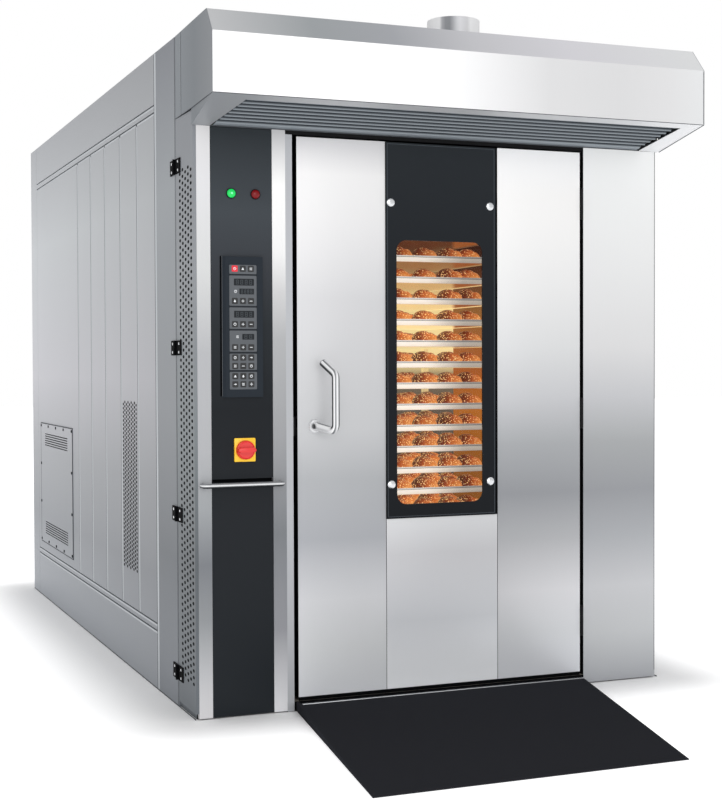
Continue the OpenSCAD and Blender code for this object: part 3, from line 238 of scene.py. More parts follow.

# Painted reflection and shade: the steel is darker through the middle of its height and lighter
# near the top and the foot.
DOOR_LEFT = Finish(
    "steel_door_left",
    (
        (0.05, (230, 232, 236)), (0.22, (221, 223, 225)), (0.40, (214, 215, 218)),
        (0.62, (169, 171, 176)), (0.84, (170, 172, 175)), (1.02, (190, 191, 193)),
        (1.50, (203, 203, 205)), (1.95, (241, 240, 240)), (2.08, (223, 222, 224)),
    ),
    **STEEL,
)
# Painted reflection and shade: a dark band from about 0.6 to 1.0 m, lighter above and at the
# foot.
DOOR_RIGHT = Finish(
    "steel_door_right",
    (
        (0.05, (219, 221, 226)), (0.22, (210, 212, 215)), (0.38, (208, 208, 211)),
        (0.58, (170, 171, 174)), (0.76, (142, 144, 148)), (0.95, (159, 161, 164)),
        (1.13, (188, 189, 192)), (1.32, (206, 207, 208)), (1.90, (241, 240, 239)),
        (2.08, (252, 252, 253)),
    ),
    **STEEL,
)
# Painted reflection and shade: lightest at the foot, darker above it.
DOOR_LOW = Finish(
    "steel_door_low",
    (
        (0.05, (248, 250, 253)), (0.30, (197, 199, 203)), (0.55, (189, 189, 192)),
        (0.68, (204, 205, 207)),
    ),
    **STEEL,
)
# Painted reflection and shade along the post's height: darkest round 0.76 m, lighter towards
# the top.
POST_RIGHT = Finish(
    "steel_post_right",
    (
        (0.01, (161, 163, 167)), (0.20, (182, 184, 186)), (0.38, (188, 189, 192)),
        (0.58, (162, 164, 168)), (0.76, (143, 145, 149)), (0.95, (157, 159, 161)),
        (1.13, (184, 185, 188)), (1.32, (204, 204, 205)), (1.90, (224, 225, 225)),
        (2.10, (231, 232, 232)),
    ),
    **STEEL,
)
# Painted reflection and shade along the strip's height: darkest round 0.55 m.
STRIP_LEFT = Finish(
    "steel_strip_left",
    (
        (0.01, (213, 212, 214)), (0.16, (184, 185, 188)), (0.35, (142, 145, 148)),
        (0.55, (120, 123, 128)), (0.75, (154, 157, 160)), (0.95, (170, 171, 174)),
        (1.30, (173, 174, 177)), (1.60, (203, 204, 204)), (1.90, (213, 213, 215)),
        (2.10, (212, 211, 212)),
    ),
    **STEEL,
)
# Painted reflection and shade along the strip's height: darkest round 0.65 m, lightest round
# 1.9 m.
STRIP_RIGHT = Finish(
    "steel_strip_right",
    (
        (0.01, (226, 226, 229)), (0.30, (146, 147, 152)), (0.65, (120, 123, 127)),
        (1.00, (152, 153, 156)), (1.35, (168, 169, 171)), (1.52, (196, 196, 197)),
        (1.66, (228, 228, 228)), (1.90, (241, 241, 240)), (2.10, (190, 190, 192)),
    ),
    **STEEL,
)
# Painted reflection: the dark panels are lighter from about 1.4 to 2.1 m.
DARK_PANEL = Finish(
    "dark_panel",
    (
        (0.0, (33, 37, 41)), (0.70, (33, 36, 40)), (0.86, (31, 34, 38)), (1.10, (28, 31, 35)),
        (1.40, (38, 42, 46)), (1.60, (53, 56, 61)), (1.80, (62, 67, 72)), (2.10, (43, 48, 52)),
    ),
    roughness=0.35,
    specular=0.1,
)
# Painted light and shade across the hood's front: lightest at the left, darker towards the
# right.
FASCIA = Finish(
    "steel_fascia",
    (
        (-0.96, (247, 247, 248)), (-0.85, (249, 249, 250)), (-0.50, (252, 252, 252)),
        (-0.10, (236, 236, 237)), (0.30, (207, 207, 208)), (0.60, (204, 204, 205)),
        (0.80, (208, 208, 209)), (0.955, (213, 214, 215)),
    ),
    along=Along.X,
    **STEEL,
)
# Painted light and shade across the hood's top slope: darkest near the left end, lightest at
# the right.
CANOPY = Finish(
    "steel_canopy",
    (
        (-0.955, (185, 186, 188)), (-0.60, (150, 154, 157)), (-0.30, (157, 159, 164)),
        (0.00, (187, 187, 191)), (0.40, (204, 203, 208)), (0.955, (212, 213, 214)),
    ),
    along=Along.X,
    **STEEL,
)
# Painted shade: darker round 0.45 m and at the top; the fade darkens the side towards the front
# and lightens it towards the back.
SIDE = Finish(
    "enamel_side",
    (
        (0.00, (156, 160, 166)), (0.45, (136, 139, 144)), (0.80, (154, 156, 160)),
        (1.20, (185, 185, 190)), (1.90, (186, 189, 192)), (2.455, (160, 162, 166)),
    ),
    fade=(-1.15, 0.80, 1.6, 1.09),
    fade_along=Along.Y,
    **ENAMEL,
)
# Painted shade along the height, as on the side boards; the front sheet's tones are darker
# overall.
SIDE_FRONT = Finish(
    "enamel_side_front",
    (
        (0.00, (124, 128, 134)), (0.55, (98, 102, 107)), (1.10, (132, 135, 139)),
        (1.90, (146, 150, 154)), (2.455, (119, 122, 128)),
    ),
    **ENAMEL,
)
# Painted shade along the height: darkest round 0.55 m, lightest round 1.6 m.
SERVICE = Finish(
    "enamel_service",
    (
        (0.02, (106, 111, 116)), (0.55, (93, 98, 102)), (1.00, (119, 125, 128)),
        (1.60, (138, 141, 145)), (2.16, (127, 130, 135)),
    ),
    **ENAMEL,
)
# A shaded copy of the side enamel for the hood's cheeks: painted shade, darkest in the middle
# of their depth.
CHEEK = Finish(
    "enamel_cheek",
    ((-2.00, (124, 127, 131)), (-1.75, (110, 115, 120)), (-1.47, (121, 126, 131))),
    along=Along.Y,
    **ENAMEL,
)
# Painted light and shade of each sawtooth slat: a dark band and a light band, repeated every
# 30.75 mm.
BAFFLE = Finish(
    "dark_baffle",
    (
        (-1.9510, (58, 63, 68)), (-1.9450, (50, 55, 60)), (-1.9410, (146, 153, 159)),
        (-1.9300, (132, 139, 145)), (-1.9205, (120, 127, 133)),
    ),
    along=Along.Y,
    repeat=0.03075,
    roughness=0.5,
    specular=0.1,
)
# Painted shade under the hood: darkest at the left, lighter towards the right.
UNDER = Finish(
    "steel_underside",
    (
        (-0.955, (146, 149, 153)), (-0.70, (166, 168, 171)), (-0.50, (176, 178, 181)),
        (0.10, (182, 184, 187)), (0.60, (200, 202, 205)), (0.955, (226, 227, 229)),
    ),
    along=Along.X,
    **STEEL,
)
# Painted reflection bands across the round flue collar.
FLUE = Finish(
    "steel_flue",
    (
        (0.118, (240, 240, 241)), (0.136, (236, 236, 237)), (0.142, (176, 177, 181)),
        (0.152, (146, 148, 152)), (0.166, (138, 140, 144)), (0.176, (160, 161, 165)),
        (0.192, (196, 197, 200)), (0.205, (212, 212, 215)), (0.235, (214, 214, 216)),
        (0.250, (236, 236, 237)), (0.306, (236, 236, 237)), (0.328, (200, 201, 204)),
    ),
    along=Along.X,
    **STEEL,
)
RAMP = Finish(
    "ramp_enamel",
    ((-2.8, (45, 46, 50)), (-1.7, (45, 46, 50))),
    along=Along.Y,
    roughness=0.6,
    specular=0.0,
)
INSIDE = dict(metallic=0.1, roughness=0.45, specular=0.1)
# Painted light and shade on each tray's front lip: a shadow at its foot, a bright band, a dark
# line and a light top edge; the fade darkens the lips towards the right and the glow is painted
# light.
TRAY_FRONT = Finish(
    "tray_front",
    (
        (0.3000, (120, 108, 92)), (0.3035, (168, 152, 132)), (0.3058, (232, 220, 206)),
        (0.3200, (244, 236, 224)), (0.3222, (232, 226, 218)), (0.3230, (158, 154, 148)),
        (0.3256, (160, 157, 152)), (0.3266, (206, 204, 200)), (0.3300, (214, 212, 208)),
        (0.3320, (150, 140, 124)),
    ),
    repeat=0.0855,
    fade=(0.14, 1.0, 0.30, 0.52),
    glow=0.86,
    **INSIDE,
)
# The glow is painted light on the trays' metal.
TRAY_TONES = plain("tray_metal", (104, 82, 56), glow=0.2, **INSIDE)
# Painted light of the chamber lamp along the height: dim low down, a bright band from about
# 1.26 to 1.52 m, darker above; the chamber's back and the fan wheel that use it also glow:
# painted light.
PAINTED_CHAMBER_LIGHT = (
    (0.04, (70, 64, 58)), (0.80, (84, 78, 70)), (1.10, (96, 90, 80)), (1.20, (122, 114, 92)),
    (1.26, (226, 212, 158)), (1.34, (238, 226, 168)), (1.52, (236, 218, 156)),
    (1.64, (204, 172, 120)), (1.72, (112, 72, 44)), (2.06, (84, 50, 32)),
)
PARTITION = Finish("chamber_back", PAINTED_CHAMBER_LIGHT, glow=0.95, **INSIDE)
# Painted light and reflection on the trays' undersides: bright from about 1.3 to 1.5 m, dark
# above; the fade to brown is a painted reflection whose edge leans along the camera's line of
# sight, and the glow is painted light.
TRAY_UNDER = Finish(
    "tray_underside",
    (
        (1.25, (190, 180, 142)), (1.38, (242, 230, 172)), (1.467, (234, 218, 158)),
        (1.552, (212, 188, 128)), (1.638, (170, 130, 82)), (1.723, (84, 44, 22)),
        (1.81, (66, 34, 18)),
    ),
    fade=(0.855, 1.0, 0.875, 0.0),
    fade_lean=-0.4768,
    fade_tone=(142, 80, 36),
    glow=0.95,
    **INSIDE,
)
# Painted light of the chamber lamp along the chamber's height, brightest round 1.05 m; the glow
# is painted light.
CHAMBER = Finish(
    "chamber_steel",
    (
        (0.04, (96, 62, 34)), (0.85, (150, 92, 36)), (1.05, (176, 106, 40)),
        (1.25, (152, 82, 36)), (1.50, (132, 88, 44)), (1.64, (96, 56, 34)),
        (1.74, (60, 32, 22)), (2.06, (48, 28, 20)),
    ),
    glow=0.85,
    grain=Grain.UPRIGHT,
    **INSIDE,
)
# Painted light along the rack's height, bright from about 1.16 to 1.52 m; the glow is painted
# light.
RACK = Finish(
    "rack_steel",
    (
        (0.04, (96, 92, 86)), (0.80, (112, 108, 102)), (1.16, (206, 188, 140)),
        (1.52, (236, 220, 160)), (1.72, (116, 78, 48)), (2.06, (84, 50, 32)),
    ),
    glow=0.92,
    **INSIDE,
)
GLASS_FRAME = Finish(
    "glass_print",
    ((0.68, (20, 23, 27)), (1.20, (24, 27, 32)), (1.70, (30, 33, 37)), (2.08, (37, 41, 45))),
    roughness=0.2,
    specular=0.1,
)
# Along U the crust runs from its painted shaded side to its painted lit side and the pale
# crack; the glow is painted light.
BUN = Finish(
    "bun_crust",
    (
        (0.00, (70, 28, 12)), (0.25, (104, 44, 18)), (0.42, (134, 60, 26)),
        (0.58, (170, 88, 40)), (0.72, (208, 130, 66)), (0.86, (240, 188, 116)),
        (1.00, (252, 220, 160)),
    ),
    along=Along.U,
    roughness=0.4,
    specular=0.3,
    glow=0.9,
    cloud=0.3,
    specks=(244, 204, 140),
)
# Painted reflection bands across the handle rod, light and dark as laid across the camera's
# right.
CHROME = Finish(
    "chrome_painted_reflection_bands",
    (
        (0.00, (96, 98, 102)), (0.07, (34, 35, 38)), (0.14, (60, 62, 65)),
        (0.22, (222, 223, 225)), (0.36, (252, 252, 252)), (0.44, (150, 152, 155)),
        (0.52, (92, 94, 98)), (0.62, (206, 207, 210)), (0.78, (246, 246, 247)),
        (0.88, (150, 152, 155)), (0.95, (58, 60, 63)), (1.00, (110, 112, 116)),
    ),
    along=Along.U,
    metallic=0.2,
    roughness=0.35,
    specular=0.2,
)
# Painted reflection bands along the grab bar's height: dark underneath, a highlight along the
# middle.
CHROME_LEVEL = Finish(
    "chrome_level_painted_reflection",
    (
        (0.00, (22, 23, 25)), (0.22, (46, 48, 51)), (0.36, (120, 122, 125)),
        (0.50, (232, 233, 234)), (0.66, (214, 215, 217)), (0.80, (120, 122, 126)),
        (1.00, (150, 152, 155)),
    ),
    along=Along.U,
    metallic=0.2,
    roughness=0.35,
    specular=0.2,
)

TILE = plain("floor_tile", (128, 124, 116), roughness=0.8, cloud=0.08)
WOOL = plain("mineral_wool", (176, 158, 104), roughness=0.95, cloud=0.12)
BRIGHT = plain("bright_steel", (214, 216, 219), metallic=0.85, roughness=0.2)
SATIN = plain("satin_steel", (178, 181, 184), metallic=0.6, roughness=0.34)
HEATER = plain("oxidised_tube", (74, 66, 62), metallic=0.5, roughness=0.5)
CAST = plain("motor_enamel", (72, 84, 98), roughness=0.45, cloud=0.05)
BLACK = plain("black_enamel", (15, 15, 17), roughness=0.45, specular=0.1)
# Black for the hinge leaves, and painted shade in holes, gaps and recesses and on the parts
# seen through them.
BLACK_AND_SHADE = plain("black_and_painted_shade", (9, 10, 12), roughness=0.6, specular=0.02)
RUBBER = plain("silicone_seal", (34, 34, 36), roughness=0.7, specular=0.1)
# Painted highlight lines along the folds of the sides and the cheek.
FOLD_HIGHLIGHT = plain("painted_fold_highlight", (176, 180, 184), roughness=0.4, specular=0.2)
GROOVE = plain("groove_shadow", (84, 87, 91), roughness=0.7, specular=0.05)
# A painted highlight along the glass panel's edge.
GLASS_EDGE_HIGHLIGHT = plain("glass_edge_highlight", (78, 84, 90), roughness=0.3, specular=0.1)
COLLAR = plain("collar_steel", (226, 227, 229), metallic=0.5, roughness=0.2)
# Painted shade in the collar's grooves, a darker copy of its steel.
COLLAR_GROOVE_SHADE = plain("collar_groove_shade", (92, 94, 98), roughness=0.4)
JAMB = plain("jamb_steel", (176, 178, 182), **STEEL)
KEYPAD_BODY = plain("controller_body", (36, 42, 49), roughness=0.4, specular=0.1)
KEYPAD_SHEET = plain("controller_sheet", (34, 38, 43), roughness=0.35, specular=0.1)
KEYPAD_BLOCK = plain("controller_block", (80, 84, 89), roughness=0.5)
KEY_CAP = plain("controller_key", (16, 17, 20), roughness=0.35)
KEY_RED = plain("controller_key_red", (222, 24, 46), roughness=0.35)
DISPLAY = plain("controller_display", (34, 37, 40), roughness=0.3, specular=0.1)
DIGIT = plain("controller_digit", (84, 89, 94), roughness=0.4, specular=0.1)
ICON = plain("controller_icon", (226, 229, 232), roughness=0.5)
LENS_GREEN = plain(
    "lens_green", (24, 186, 84), roughness=0.2, coat=0.3, specular=0.2, glow=0.45
)
LENS_RED = plain("lens_red", (108, 6, 12), roughness=0.2, coat=0.2, specular=0.2, glow=0.3)
# A painted glint on the green lamp's dome.
LENS_GLINT = plain("lens_painted_glint", (120, 244, 168), roughness=0.2, glow=0.5)
SWITCH_YELLOW = plain("switch_yellow", (250, 200, 20), roughness=0.35, coat=0.2)
SWITCH_RED = plain("switch_red", (222, 36, 34), roughness=0.32, coat=0.3)
RELAY = plain("relay_grey", (150, 152, 154), roughness=0.5)
LAMP_COVER = plain("lamp_cover", (255, 236, 190), roughness=0.4, glow=2.0)
TREAD = plain("castor_tread", (74, 52, 40), roughness=0.5)
CLEAR = plain("clear_glass", (60, 64, 66), roughness=0.03, alpha=0.04, specular=0.3)
HOLE = plain("hole_shadow", (30, 32, 35), roughness=0.8, specular=0.05)
SILL = plain("sill_steel", (206, 208, 211), metallic=0.7, roughness=0.25)


# ------------------------------------------------------------------ shader groups


def add_node(
    tree: bpy.types.NodeTree, kind: str, operation: str = "", values: dict | None = None
) -> bpy.types.Node:
    """Adds a node to a tree.

    Args:
        tree: where it goes.
        kind: the node's type.
        operation: what a math node does, or nothing.
        values: the inputs' values, by index or name.

    Returns:
        The node.
    """
    node = tree.nodes.new(kind)
    if operation:
        node.operation = operation
    for socket, value in (values or {}).items():
        node.inputs[socket].default_value = value
    return node


def new_group(
    name: str,
    inputs: Sequence[tuple[str, str, object]],
    outputs: Sequence[tuple[str, str]],
) -> tuple[bpy.types.ShaderNodeTree, bpy.types.Node, bpy.types.Node]:
    """Starts a shader group.

    Args:
        name: the group's name.
        inputs: each input's name, socket type and default value, or None to leave it.
        outputs: each output's name and socket type.

    Returns:
        The group, its input node and its output node.
    """
    tree = bpy.data.node_groups.new(name, "ShaderNodeTree")
    for label, kind, default in inputs:
        socket = tree.interface.new_socket(label, in_out="INPUT", socket_type=kind)
        if default is not None:
            socket.default_value = default
    for label, kind in outputs:
        tree.interface.new_socket(label, in_out="OUTPUT", socket_type=kind)
    return tree, tree.nodes.new("NodeGroupInput"), tree.nodes.new("NodeGroupOutput")


def grain_group() -> bpy.types.ShaderNodeTree:
    """Builds the shared group that adds fine grain and broad clouds to a tone.

    Returns:
        A group with inputs Vector, Color, Stretch, Tone, Clouds, Roughness and Rough Range, and
        outputs Color, Roughness and Height.
    """
    tree, given, result = new_group(
        "surface_grain",
        (
            ("Vector", VECTOR, None), ("Color", COLOR, None), ("Stretch", VECTOR, (1, 1, 1)),
            ("Tone", FLOAT, 0.02), ("Clouds", FLOAT, 0.02), ("Roughness", FLOAT, 0.4),
            ("Rough Range", FLOAT, 0.03),
        ),
        (("Color", COLOR), ("Roughness", FLOAT), ("Height", FLOAT)),
    )
    link = tree.links.new
    stretched = add_node(tree, VECTOR_MATH, "MULTIPLY")
    link(given.outputs["Vector"], stretched.inputs[0])
    link(given.outputs["Stretch"], stretched.inputs[1])
    fine = add_node(tree, "ShaderNodeTexNoise", values={"Scale": GRAIN_SCALE, "Detail": 2})
    link(stretched.outputs[0], fine.inputs["Vector"])
    broad = add_node(tree, "ShaderNodeTexNoise", values={"Scale": CLOUD_SCALE, "Detail": 2})
    link(given.outputs["Vector"], broad.inputs["Vector"])

    def spread(
        source: bpy.types.NodeSocket, width: bpy.types.NodeSocket
    ) -> bpy.types.NodeSocket:
        """Maps noise from 0 to 1 to a factor round 1.

        Args:
            source: the noise.
            width: largest change either way.

        Returns:
            The factor.
        """
        centred = add_node(tree, MATH, "SUBTRACT", {1: 0.5})
        link(source, centred.inputs[0])
        scaled = add_node(tree, MATH, "MULTIPLY")
        link(centred.outputs[0], scaled.inputs[0])
        link(width, scaled.inputs[1])
        doubled = add_node(tree, MATH, "MULTIPLY_ADD", {1: 2, 2: 1})
        link(scaled.outputs[0], doubled.inputs[0])
        return doubled.outputs[0]

    factor = add_node(tree, MATH, "MULTIPLY")
    link(spread(fine.outputs["Fac"], given.outputs["Tone"]), factor.inputs[0])
    link(spread(broad.outputs["Fac"], given.outputs["Clouds"]), factor.inputs[1])
    tinted = add_node(tree, VECTOR_MATH, "SCALE")
    link(given.outputs["Color"], tinted.inputs[0])
    link(factor.outputs[0], tinted.inputs["Scale"])
    link(tinted.outputs[0], result.inputs["Color"])
    rough = add_node(tree, MATH, "MULTIPLY_ADD")
    link(fine.outputs["Fac"], rough.inputs[0])
    link(given.outputs["Rough Range"], rough.inputs[1])
    link(given.outputs["Roughness"], rough.inputs[2])
    link(rough.outputs[0], result.inputs["Roughness"])
    link(fine.outputs["Fac"], result.inputs["Height"])
    return tree


def speck_group() -> bpy.types.ShaderNodeTree:
    """Builds the shared group that scatters small seeds over a tone.

    Returns:
        A group with inputs Vector, Color and Seed Color and the output Color.
    """
    tree, given, result = new_group(
        "seed_specks",
        (("Vector", VECTOR, None), ("Color", COLOR, None), ("Seed Color", COLOR, None)),
        (("Color", COLOR),),
    )
    link = tree.links.new
    cells = add_node(tree, "ShaderNodeTexVoronoi", values={"Scale": SEED_SCALE})
    link(given.outputs["Vector"], cells.inputs["Vector"])
    seeds = add_node(tree, MAP_RANGE, values={"From Min": 0.34, "From Max": 0.22})
    link(cells.outputs["Distance"], seeds.inputs["Value"])
    mix = add_node(tree, "ShaderNodeMix")
    mix.data_type = "RGBA"
    link(seeds.outputs["Result"], mix.inputs["Factor"])
    link(given.outputs["Color"], mix.inputs["A"])
    link(given.outputs["Seed Color"], mix.inputs["B"])
    link(mix.outputs["Result"], result.inputs["Color"])
    return tree


class Paintbox:
    """Makes each finish's material once and hands it out."""

    def __init__(self) -> None:
        """Starts with the shared groups and no materials."""
        self.grain = grain_group()
        self.specks = speck_group()
        self.made: dict[str, bpy.types.Material] = {}

    def get(self, finish: Finish) -> bpy.types.Material:
        """Returns the material of a finish.

        Args:
            finish: the surface wanted.

        Returns:
            The material, made on first use.
        """
        if finish.name not in self.made:
            self.made[finish.name] = self._make(finish)
        return self.made[finish.name]

    def _make(self, finish: Finish) -> bpy.types.Material:
        """Builds one material: a ramp along an axis, then grain, then the surface.

        Args:
            finish: the surface wanted.

        Returns:
            The material.
        """
        mat = bpy.data.materials.new(finish.name)
        mat.use_nodes = True
        tree = mat.node_tree
        surface = tree.nodes["Principled BSDF"]
        link = tree.links.new
        place = tree.nodes.new("ShaderNodeTexCoord")
        split = tree.nodes.new("ShaderNodeSeparateXYZ")
        by_mesh = finish.along is Along.U
        link(place.outputs["UV" if by_mesh else "Object"], split.inputs[0])
        low, high = finish.stops[0][0], finish.stops[-1][0]
        span = add_node(tree, MAP_RANGE, values={"From Min": low, "From Max": high})
        along = split.outputs[0 if by_mesh else finish.along.value]
        if finish.repeat:
            wrap = add_node(tree, MATH, "WRAP", {1: low + finish.repeat, 2: low})
            link(along, wrap.inputs[0])
            along = wrap.outputs[0]
        link(along, span.inputs["Value"])
        ramp = tree.nodes.new("ShaderNodeValToRGB")
        points = ramp.color_ramp.elements
        points[0].color = linear(finish.stops[0][1])
        points[-1].color = linear(finish.stops[-1][1])
        for where, tone in finish.stops[1:-1]:
            points.new((where - low) / (high - low)).color = linear(tone)
        link(span.outputs["Result"], ramp.inputs["Fac"])

        grain = tree.nodes.new("ShaderNodeGroup")
        grain.node_tree = self.grain
        for socket, value in (
            ("Stretch", finish.grain.value), ("Tone", finish.grain_tone),
            ("Clouds", finish.cloud), ("Roughness", finish.roughness),
            ("Rough Range", finish.grain_rough),
        ):
            grain.inputs[socket].default_value = value
        link(place.outputs["Object"], grain.inputs["Vector"])
        tone = ramp.outputs["Color"]
        if finish.specks:
            specks = tree.nodes.new("ShaderNodeGroup")
            specks.node_tree = self.specks
            specks.inputs["Seed Color"].default_value = linear(finish.specks)
            link(place.outputs["Object"], specks.inputs["Vector"])
            link(tone, specks.inputs["Color"])
            tone = specks.outputs["Color"]
        if finish.fade:
            ends = zip(("From Min", "To Min", "From Max", "To Max"), finish.fade)
            across = add_node(tree, MAP_RANGE, values=dict(ends))
            lean = add_node(tree, MATH, "MULTIPLY_ADD", {1: finish.fade_lean})
            link(split.outputs["Y"], lean.inputs[0])
            link(split.outputs[finish.fade_along.value], lean.inputs[2])
            link(lean.outputs[0], across.inputs["Value"])
            if finish.fade_tone:
                mixed = tree.nodes.new("ShaderNodeMix")
                mixed.data_type = "RGBA"
                sockets = [socket for socket in mixed.inputs if socket.type == "RGBA"]
                sockets[0].default_value = linear(finish.fade_tone)
                link(tone, sockets[1])
                link(across.outputs["Result"], mixed.inputs[0])
                tone = next(socket for socket in mixed.outputs if socket.type == "RGBA")
            else:
                dimmed = add_node(tree, VECTOR_MATH, "SCALE")
                link(tone, dimmed.inputs[0])
                link(across.outputs["Result"], dimmed.inputs["Scale"])
                tone = dimmed.outputs[0]
        link(tone, grain.inputs["Color"])
        link(grain.outputs["Color"], surface.inputs["Base Color"])
        link(grain.outputs["Roughness"], surface.inputs["Roughness"])
        for socket, value in (
            ("Metallic", finish.metallic), ("Coat Weight", finish.coat),
            ("Specular IOR Level", finish.specular), ("Alpha", finish.alpha),
        ):
            surface.inputs[socket].default_value = value
        if finish.glow:
            link(grain.outputs["Color"], surface.inputs["Emission Color"])
            surface.inputs["Emission Strength"].default_value = finish.glow
        if finish.bump:
            bump = tree.nodes.new("ShaderNodeBump")
            bump.inputs["Distance"].default_value = finish.bump * MM
            link(grain.outputs["Height"], bump.inputs["Height"])
            link(bump.outputs["Normal"], surface.inputs["Normal"])
        return mat


# ------------------------------------------------------------------ mesh building


class Shape:
    """A mesh under construction, in metres in the row frame."""

    def __init__(self, name: str) -> None:
        """Starts empty.

        Args:
            name: the piece's name.
        """
        self.name = name
        self.mesh = bmesh.new()
        self.layer = 0

    def using(self, layer: int) -> "Shape":
        """Sets the material index of what is added next.

        Args:
            layer: index into the materials given to finish_as.

        Returns:
            This shape.
        """
        self.layer = layer
        return self

    def _tag(self, faces: Iterable[bmesh.types.BMFace]) -> None:
        """Gives faces the current material index.

        Args:
            faces: the faces just made.
        """
        for face in faces:
            face.material_index = self.layer

    def box(
        self, low: Sequence[float], high: Sequence[float], bevel: float = 0.0, segments: int = 2
    ) -> "Shape":
        """Adds a box with rounded edges.

        Args:
            low: lowest corner.
            high: highest corner.
            bevel: edge radius in metres.
            segments: steps in each rounded edge.

        Returns:
            This shape.
        """
        corners = [
            self.mesh.verts.new((x, y, z))
            for x in (low[0], high[0])
            for y in (low[1], high[1])
            for z in (low[2], high[2])
        ]
        sides = (
            (0, 1, 3, 2), (4, 6, 7, 5), (0, 4, 5, 1), (2, 3, 7, 6), (0, 2, 6, 4), (1, 5, 7, 3)
        )
        faces = [self.mesh.faces.new([corners[i] for i in side]) for side in sides]
        self._tag(faces)
        if bevel:
            edges = list({edge for face in faces for edge in face.edges})
            done = bmesh.ops.bevel(
                self.mesh,
                geom=edges,
                offset=bevel,
                segments=segments,
                profile=0.5,
                affect="EDGES",
            )
            self._tag(done["faces"])
        return self

    def prism(
        self, outline: Sequence[tuple[float, float]], y: tuple[float, float], bevel: float = 0.0
    ) -> "Shape":
        """Adds an upright plate from an outline seen from the front.

        Args:
            outline: (x, z) points, anticlockwise as seen from the front.
            y: front and back places.
            bevel: radius of the front edge.

        Returns:
            This shape.
        """
        front = [self.mesh.verts.new((px, y[0], pz)) for px, pz in outline]
        back = [self.mesh.verts.new((px, y[1], pz)) for px, pz in outline]
        count = len(outline)
        face = self.mesh.faces.new(front)
        made = [face, self.mesh.faces.new(back[::-1])]
        for i in range(count):
            j = (i + 1) % count
            made.append(self.mesh.faces.new((front[j], front[i], back[i], back[j])))
        self._tag(made)
        if bevel:
            edges = list(face.edges)
            done = bmesh.ops.bevel(
                self.mesh, geom=edges, offset=bevel, segments=3, profile=0.5, affect="EDGES"
            )
            self._tag(done["faces"])
        return self

    def ring_plate(
        self,
        outer: Sequence[tuple[float, float]],
        inner: Sequence[tuple[float, float]],
        y: tuple[float, float],
    ) -> "Shape":
        """Adds an upright plate with one hole; both outlines have the same number of points.

        Args:
            outer: (x, z) points of the outside, anticlockwise.
            inner: (x, z) points of the hole, anticlockwise.
            y: front and back places.

        Returns:
            This shape.
        """
        rows = [
            [self.mesh.verts.new((px, place, pz)) for px, pz in ring]
            for place, ring in ((y[0], outer), (y[0], inner), (y[1], inner), (y[1], outer))
        ]
        count = len(outer)
        made = []
        for a, b in ((0, 1), (1, 2), (2, 3), (3, 0)):
            for i in range(count):
                j = (i + 1) % count
                made.append(
                    self.mesh.faces.new((rows[a][i], rows[a][j], rows[b][j], rows[b][i]))
                )
        self._tag(made)
        return self

    def lathe(
        self, profile: Sequence[tuple[float, float]], matrix: Matrix, steps: int = 40
    ) -> "Shape":
        """Adds a turned form.

        Args:
            profile: (radius, height) points from the base's middle to the top's middle.
            matrix: puts the form's base and Z axis in place.
            steps: points round the form.

        Returns:
            This shape.
        """
        rings = []
        for radius, height in profile:
            if radius < 1e-7:
                rings.append([self.mesh.verts.new(matrix @ Vector((0, 0, height)))])
                continue
            rings.append(
                [
                    self.mesh.verts.new(
                        matrix
                        @ Vector(
                            (
                                radius * math.cos(math.tau * i / steps),
                                radius * math.sin(math.tau * i / steps),
                                height,
                            )
                        )
                    )
                    for i in range(steps)
                ]
            )
        made = []
        for a, b in zip(rings, rings[1:]):
            for i in range(steps):
                j = (i + 1) % steps
                corners = [a[i % len(a)], a[j % len(a)], b[j % len(b)], b[i % len(b)]]
                made.append(self.mesh.faces.new(list(dict.fromkeys(corners))))
        self._tag(made)
        return self

    def tube(
        self, path: Sequence[Vector], radius: float, across: Vector, steps: int = 40
    ) -> "Shape":
        """Adds a round rod along a path, with rounded ends.

        Args:
            path: centre points.
            radius: the rod's radius.
            across: direction that the UV's U runs along, from one side of the rod to the other.
            steps: points round the rod.

        Returns:
            This shape.
        """
        rings = []
        normal = None
        for i, point in enumerate(path):
            ahead = (path[min(i + 1, len(path) - 1)] - path[max(i - 1, 0)]).normalized()
            if normal is None:
                normal = ahead.orthogonal().normalized()
            normal = (normal - ahead * normal.dot(ahead)).normalized()
            side = ahead.cross(normal)
            rings.append(
                [
                    self.mesh.verts.new(
                        point
                        + radius * math.cos(math.tau * k / steps) * normal
                        + radius * math.sin(math.tau * k / steps) * side
                    )
                    for k in range(steps)
                ]
            )
        made = []
        spot = self.mesh.loops.layers.uv.verify()
        for middle, a, b in zip(path, rings, rings[1:]):
            for i in range(steps):
                j = (i + 1) % steps
                face = self.mesh.faces.new((a[i], a[j], b[j], b[i]))
                made.append(face)
                for loop in face.loops:
                    start = middle if loop.vert in a else path[path.index(middle) + 1]
                    u = 0.5 + 0.5 * (loop.vert.co - start).dot(across) / radius
                    loop[spot].uv = (u, 0.5)
        made.append(self.mesh.faces.new(rings[0][::-1]))
        made.append(self.mesh.faces.new(rings[-1]))
        self._tag(made)
        ends = list(made[-1].edges) + list(made[-2].edges)
        done = bmesh.ops.bevel(
            self.mesh, geom=ends, offset=radius * 0.25, segments=3, profile=0.5, affect="EDGES"
        )
        self._tag(done["faces"])
        return self

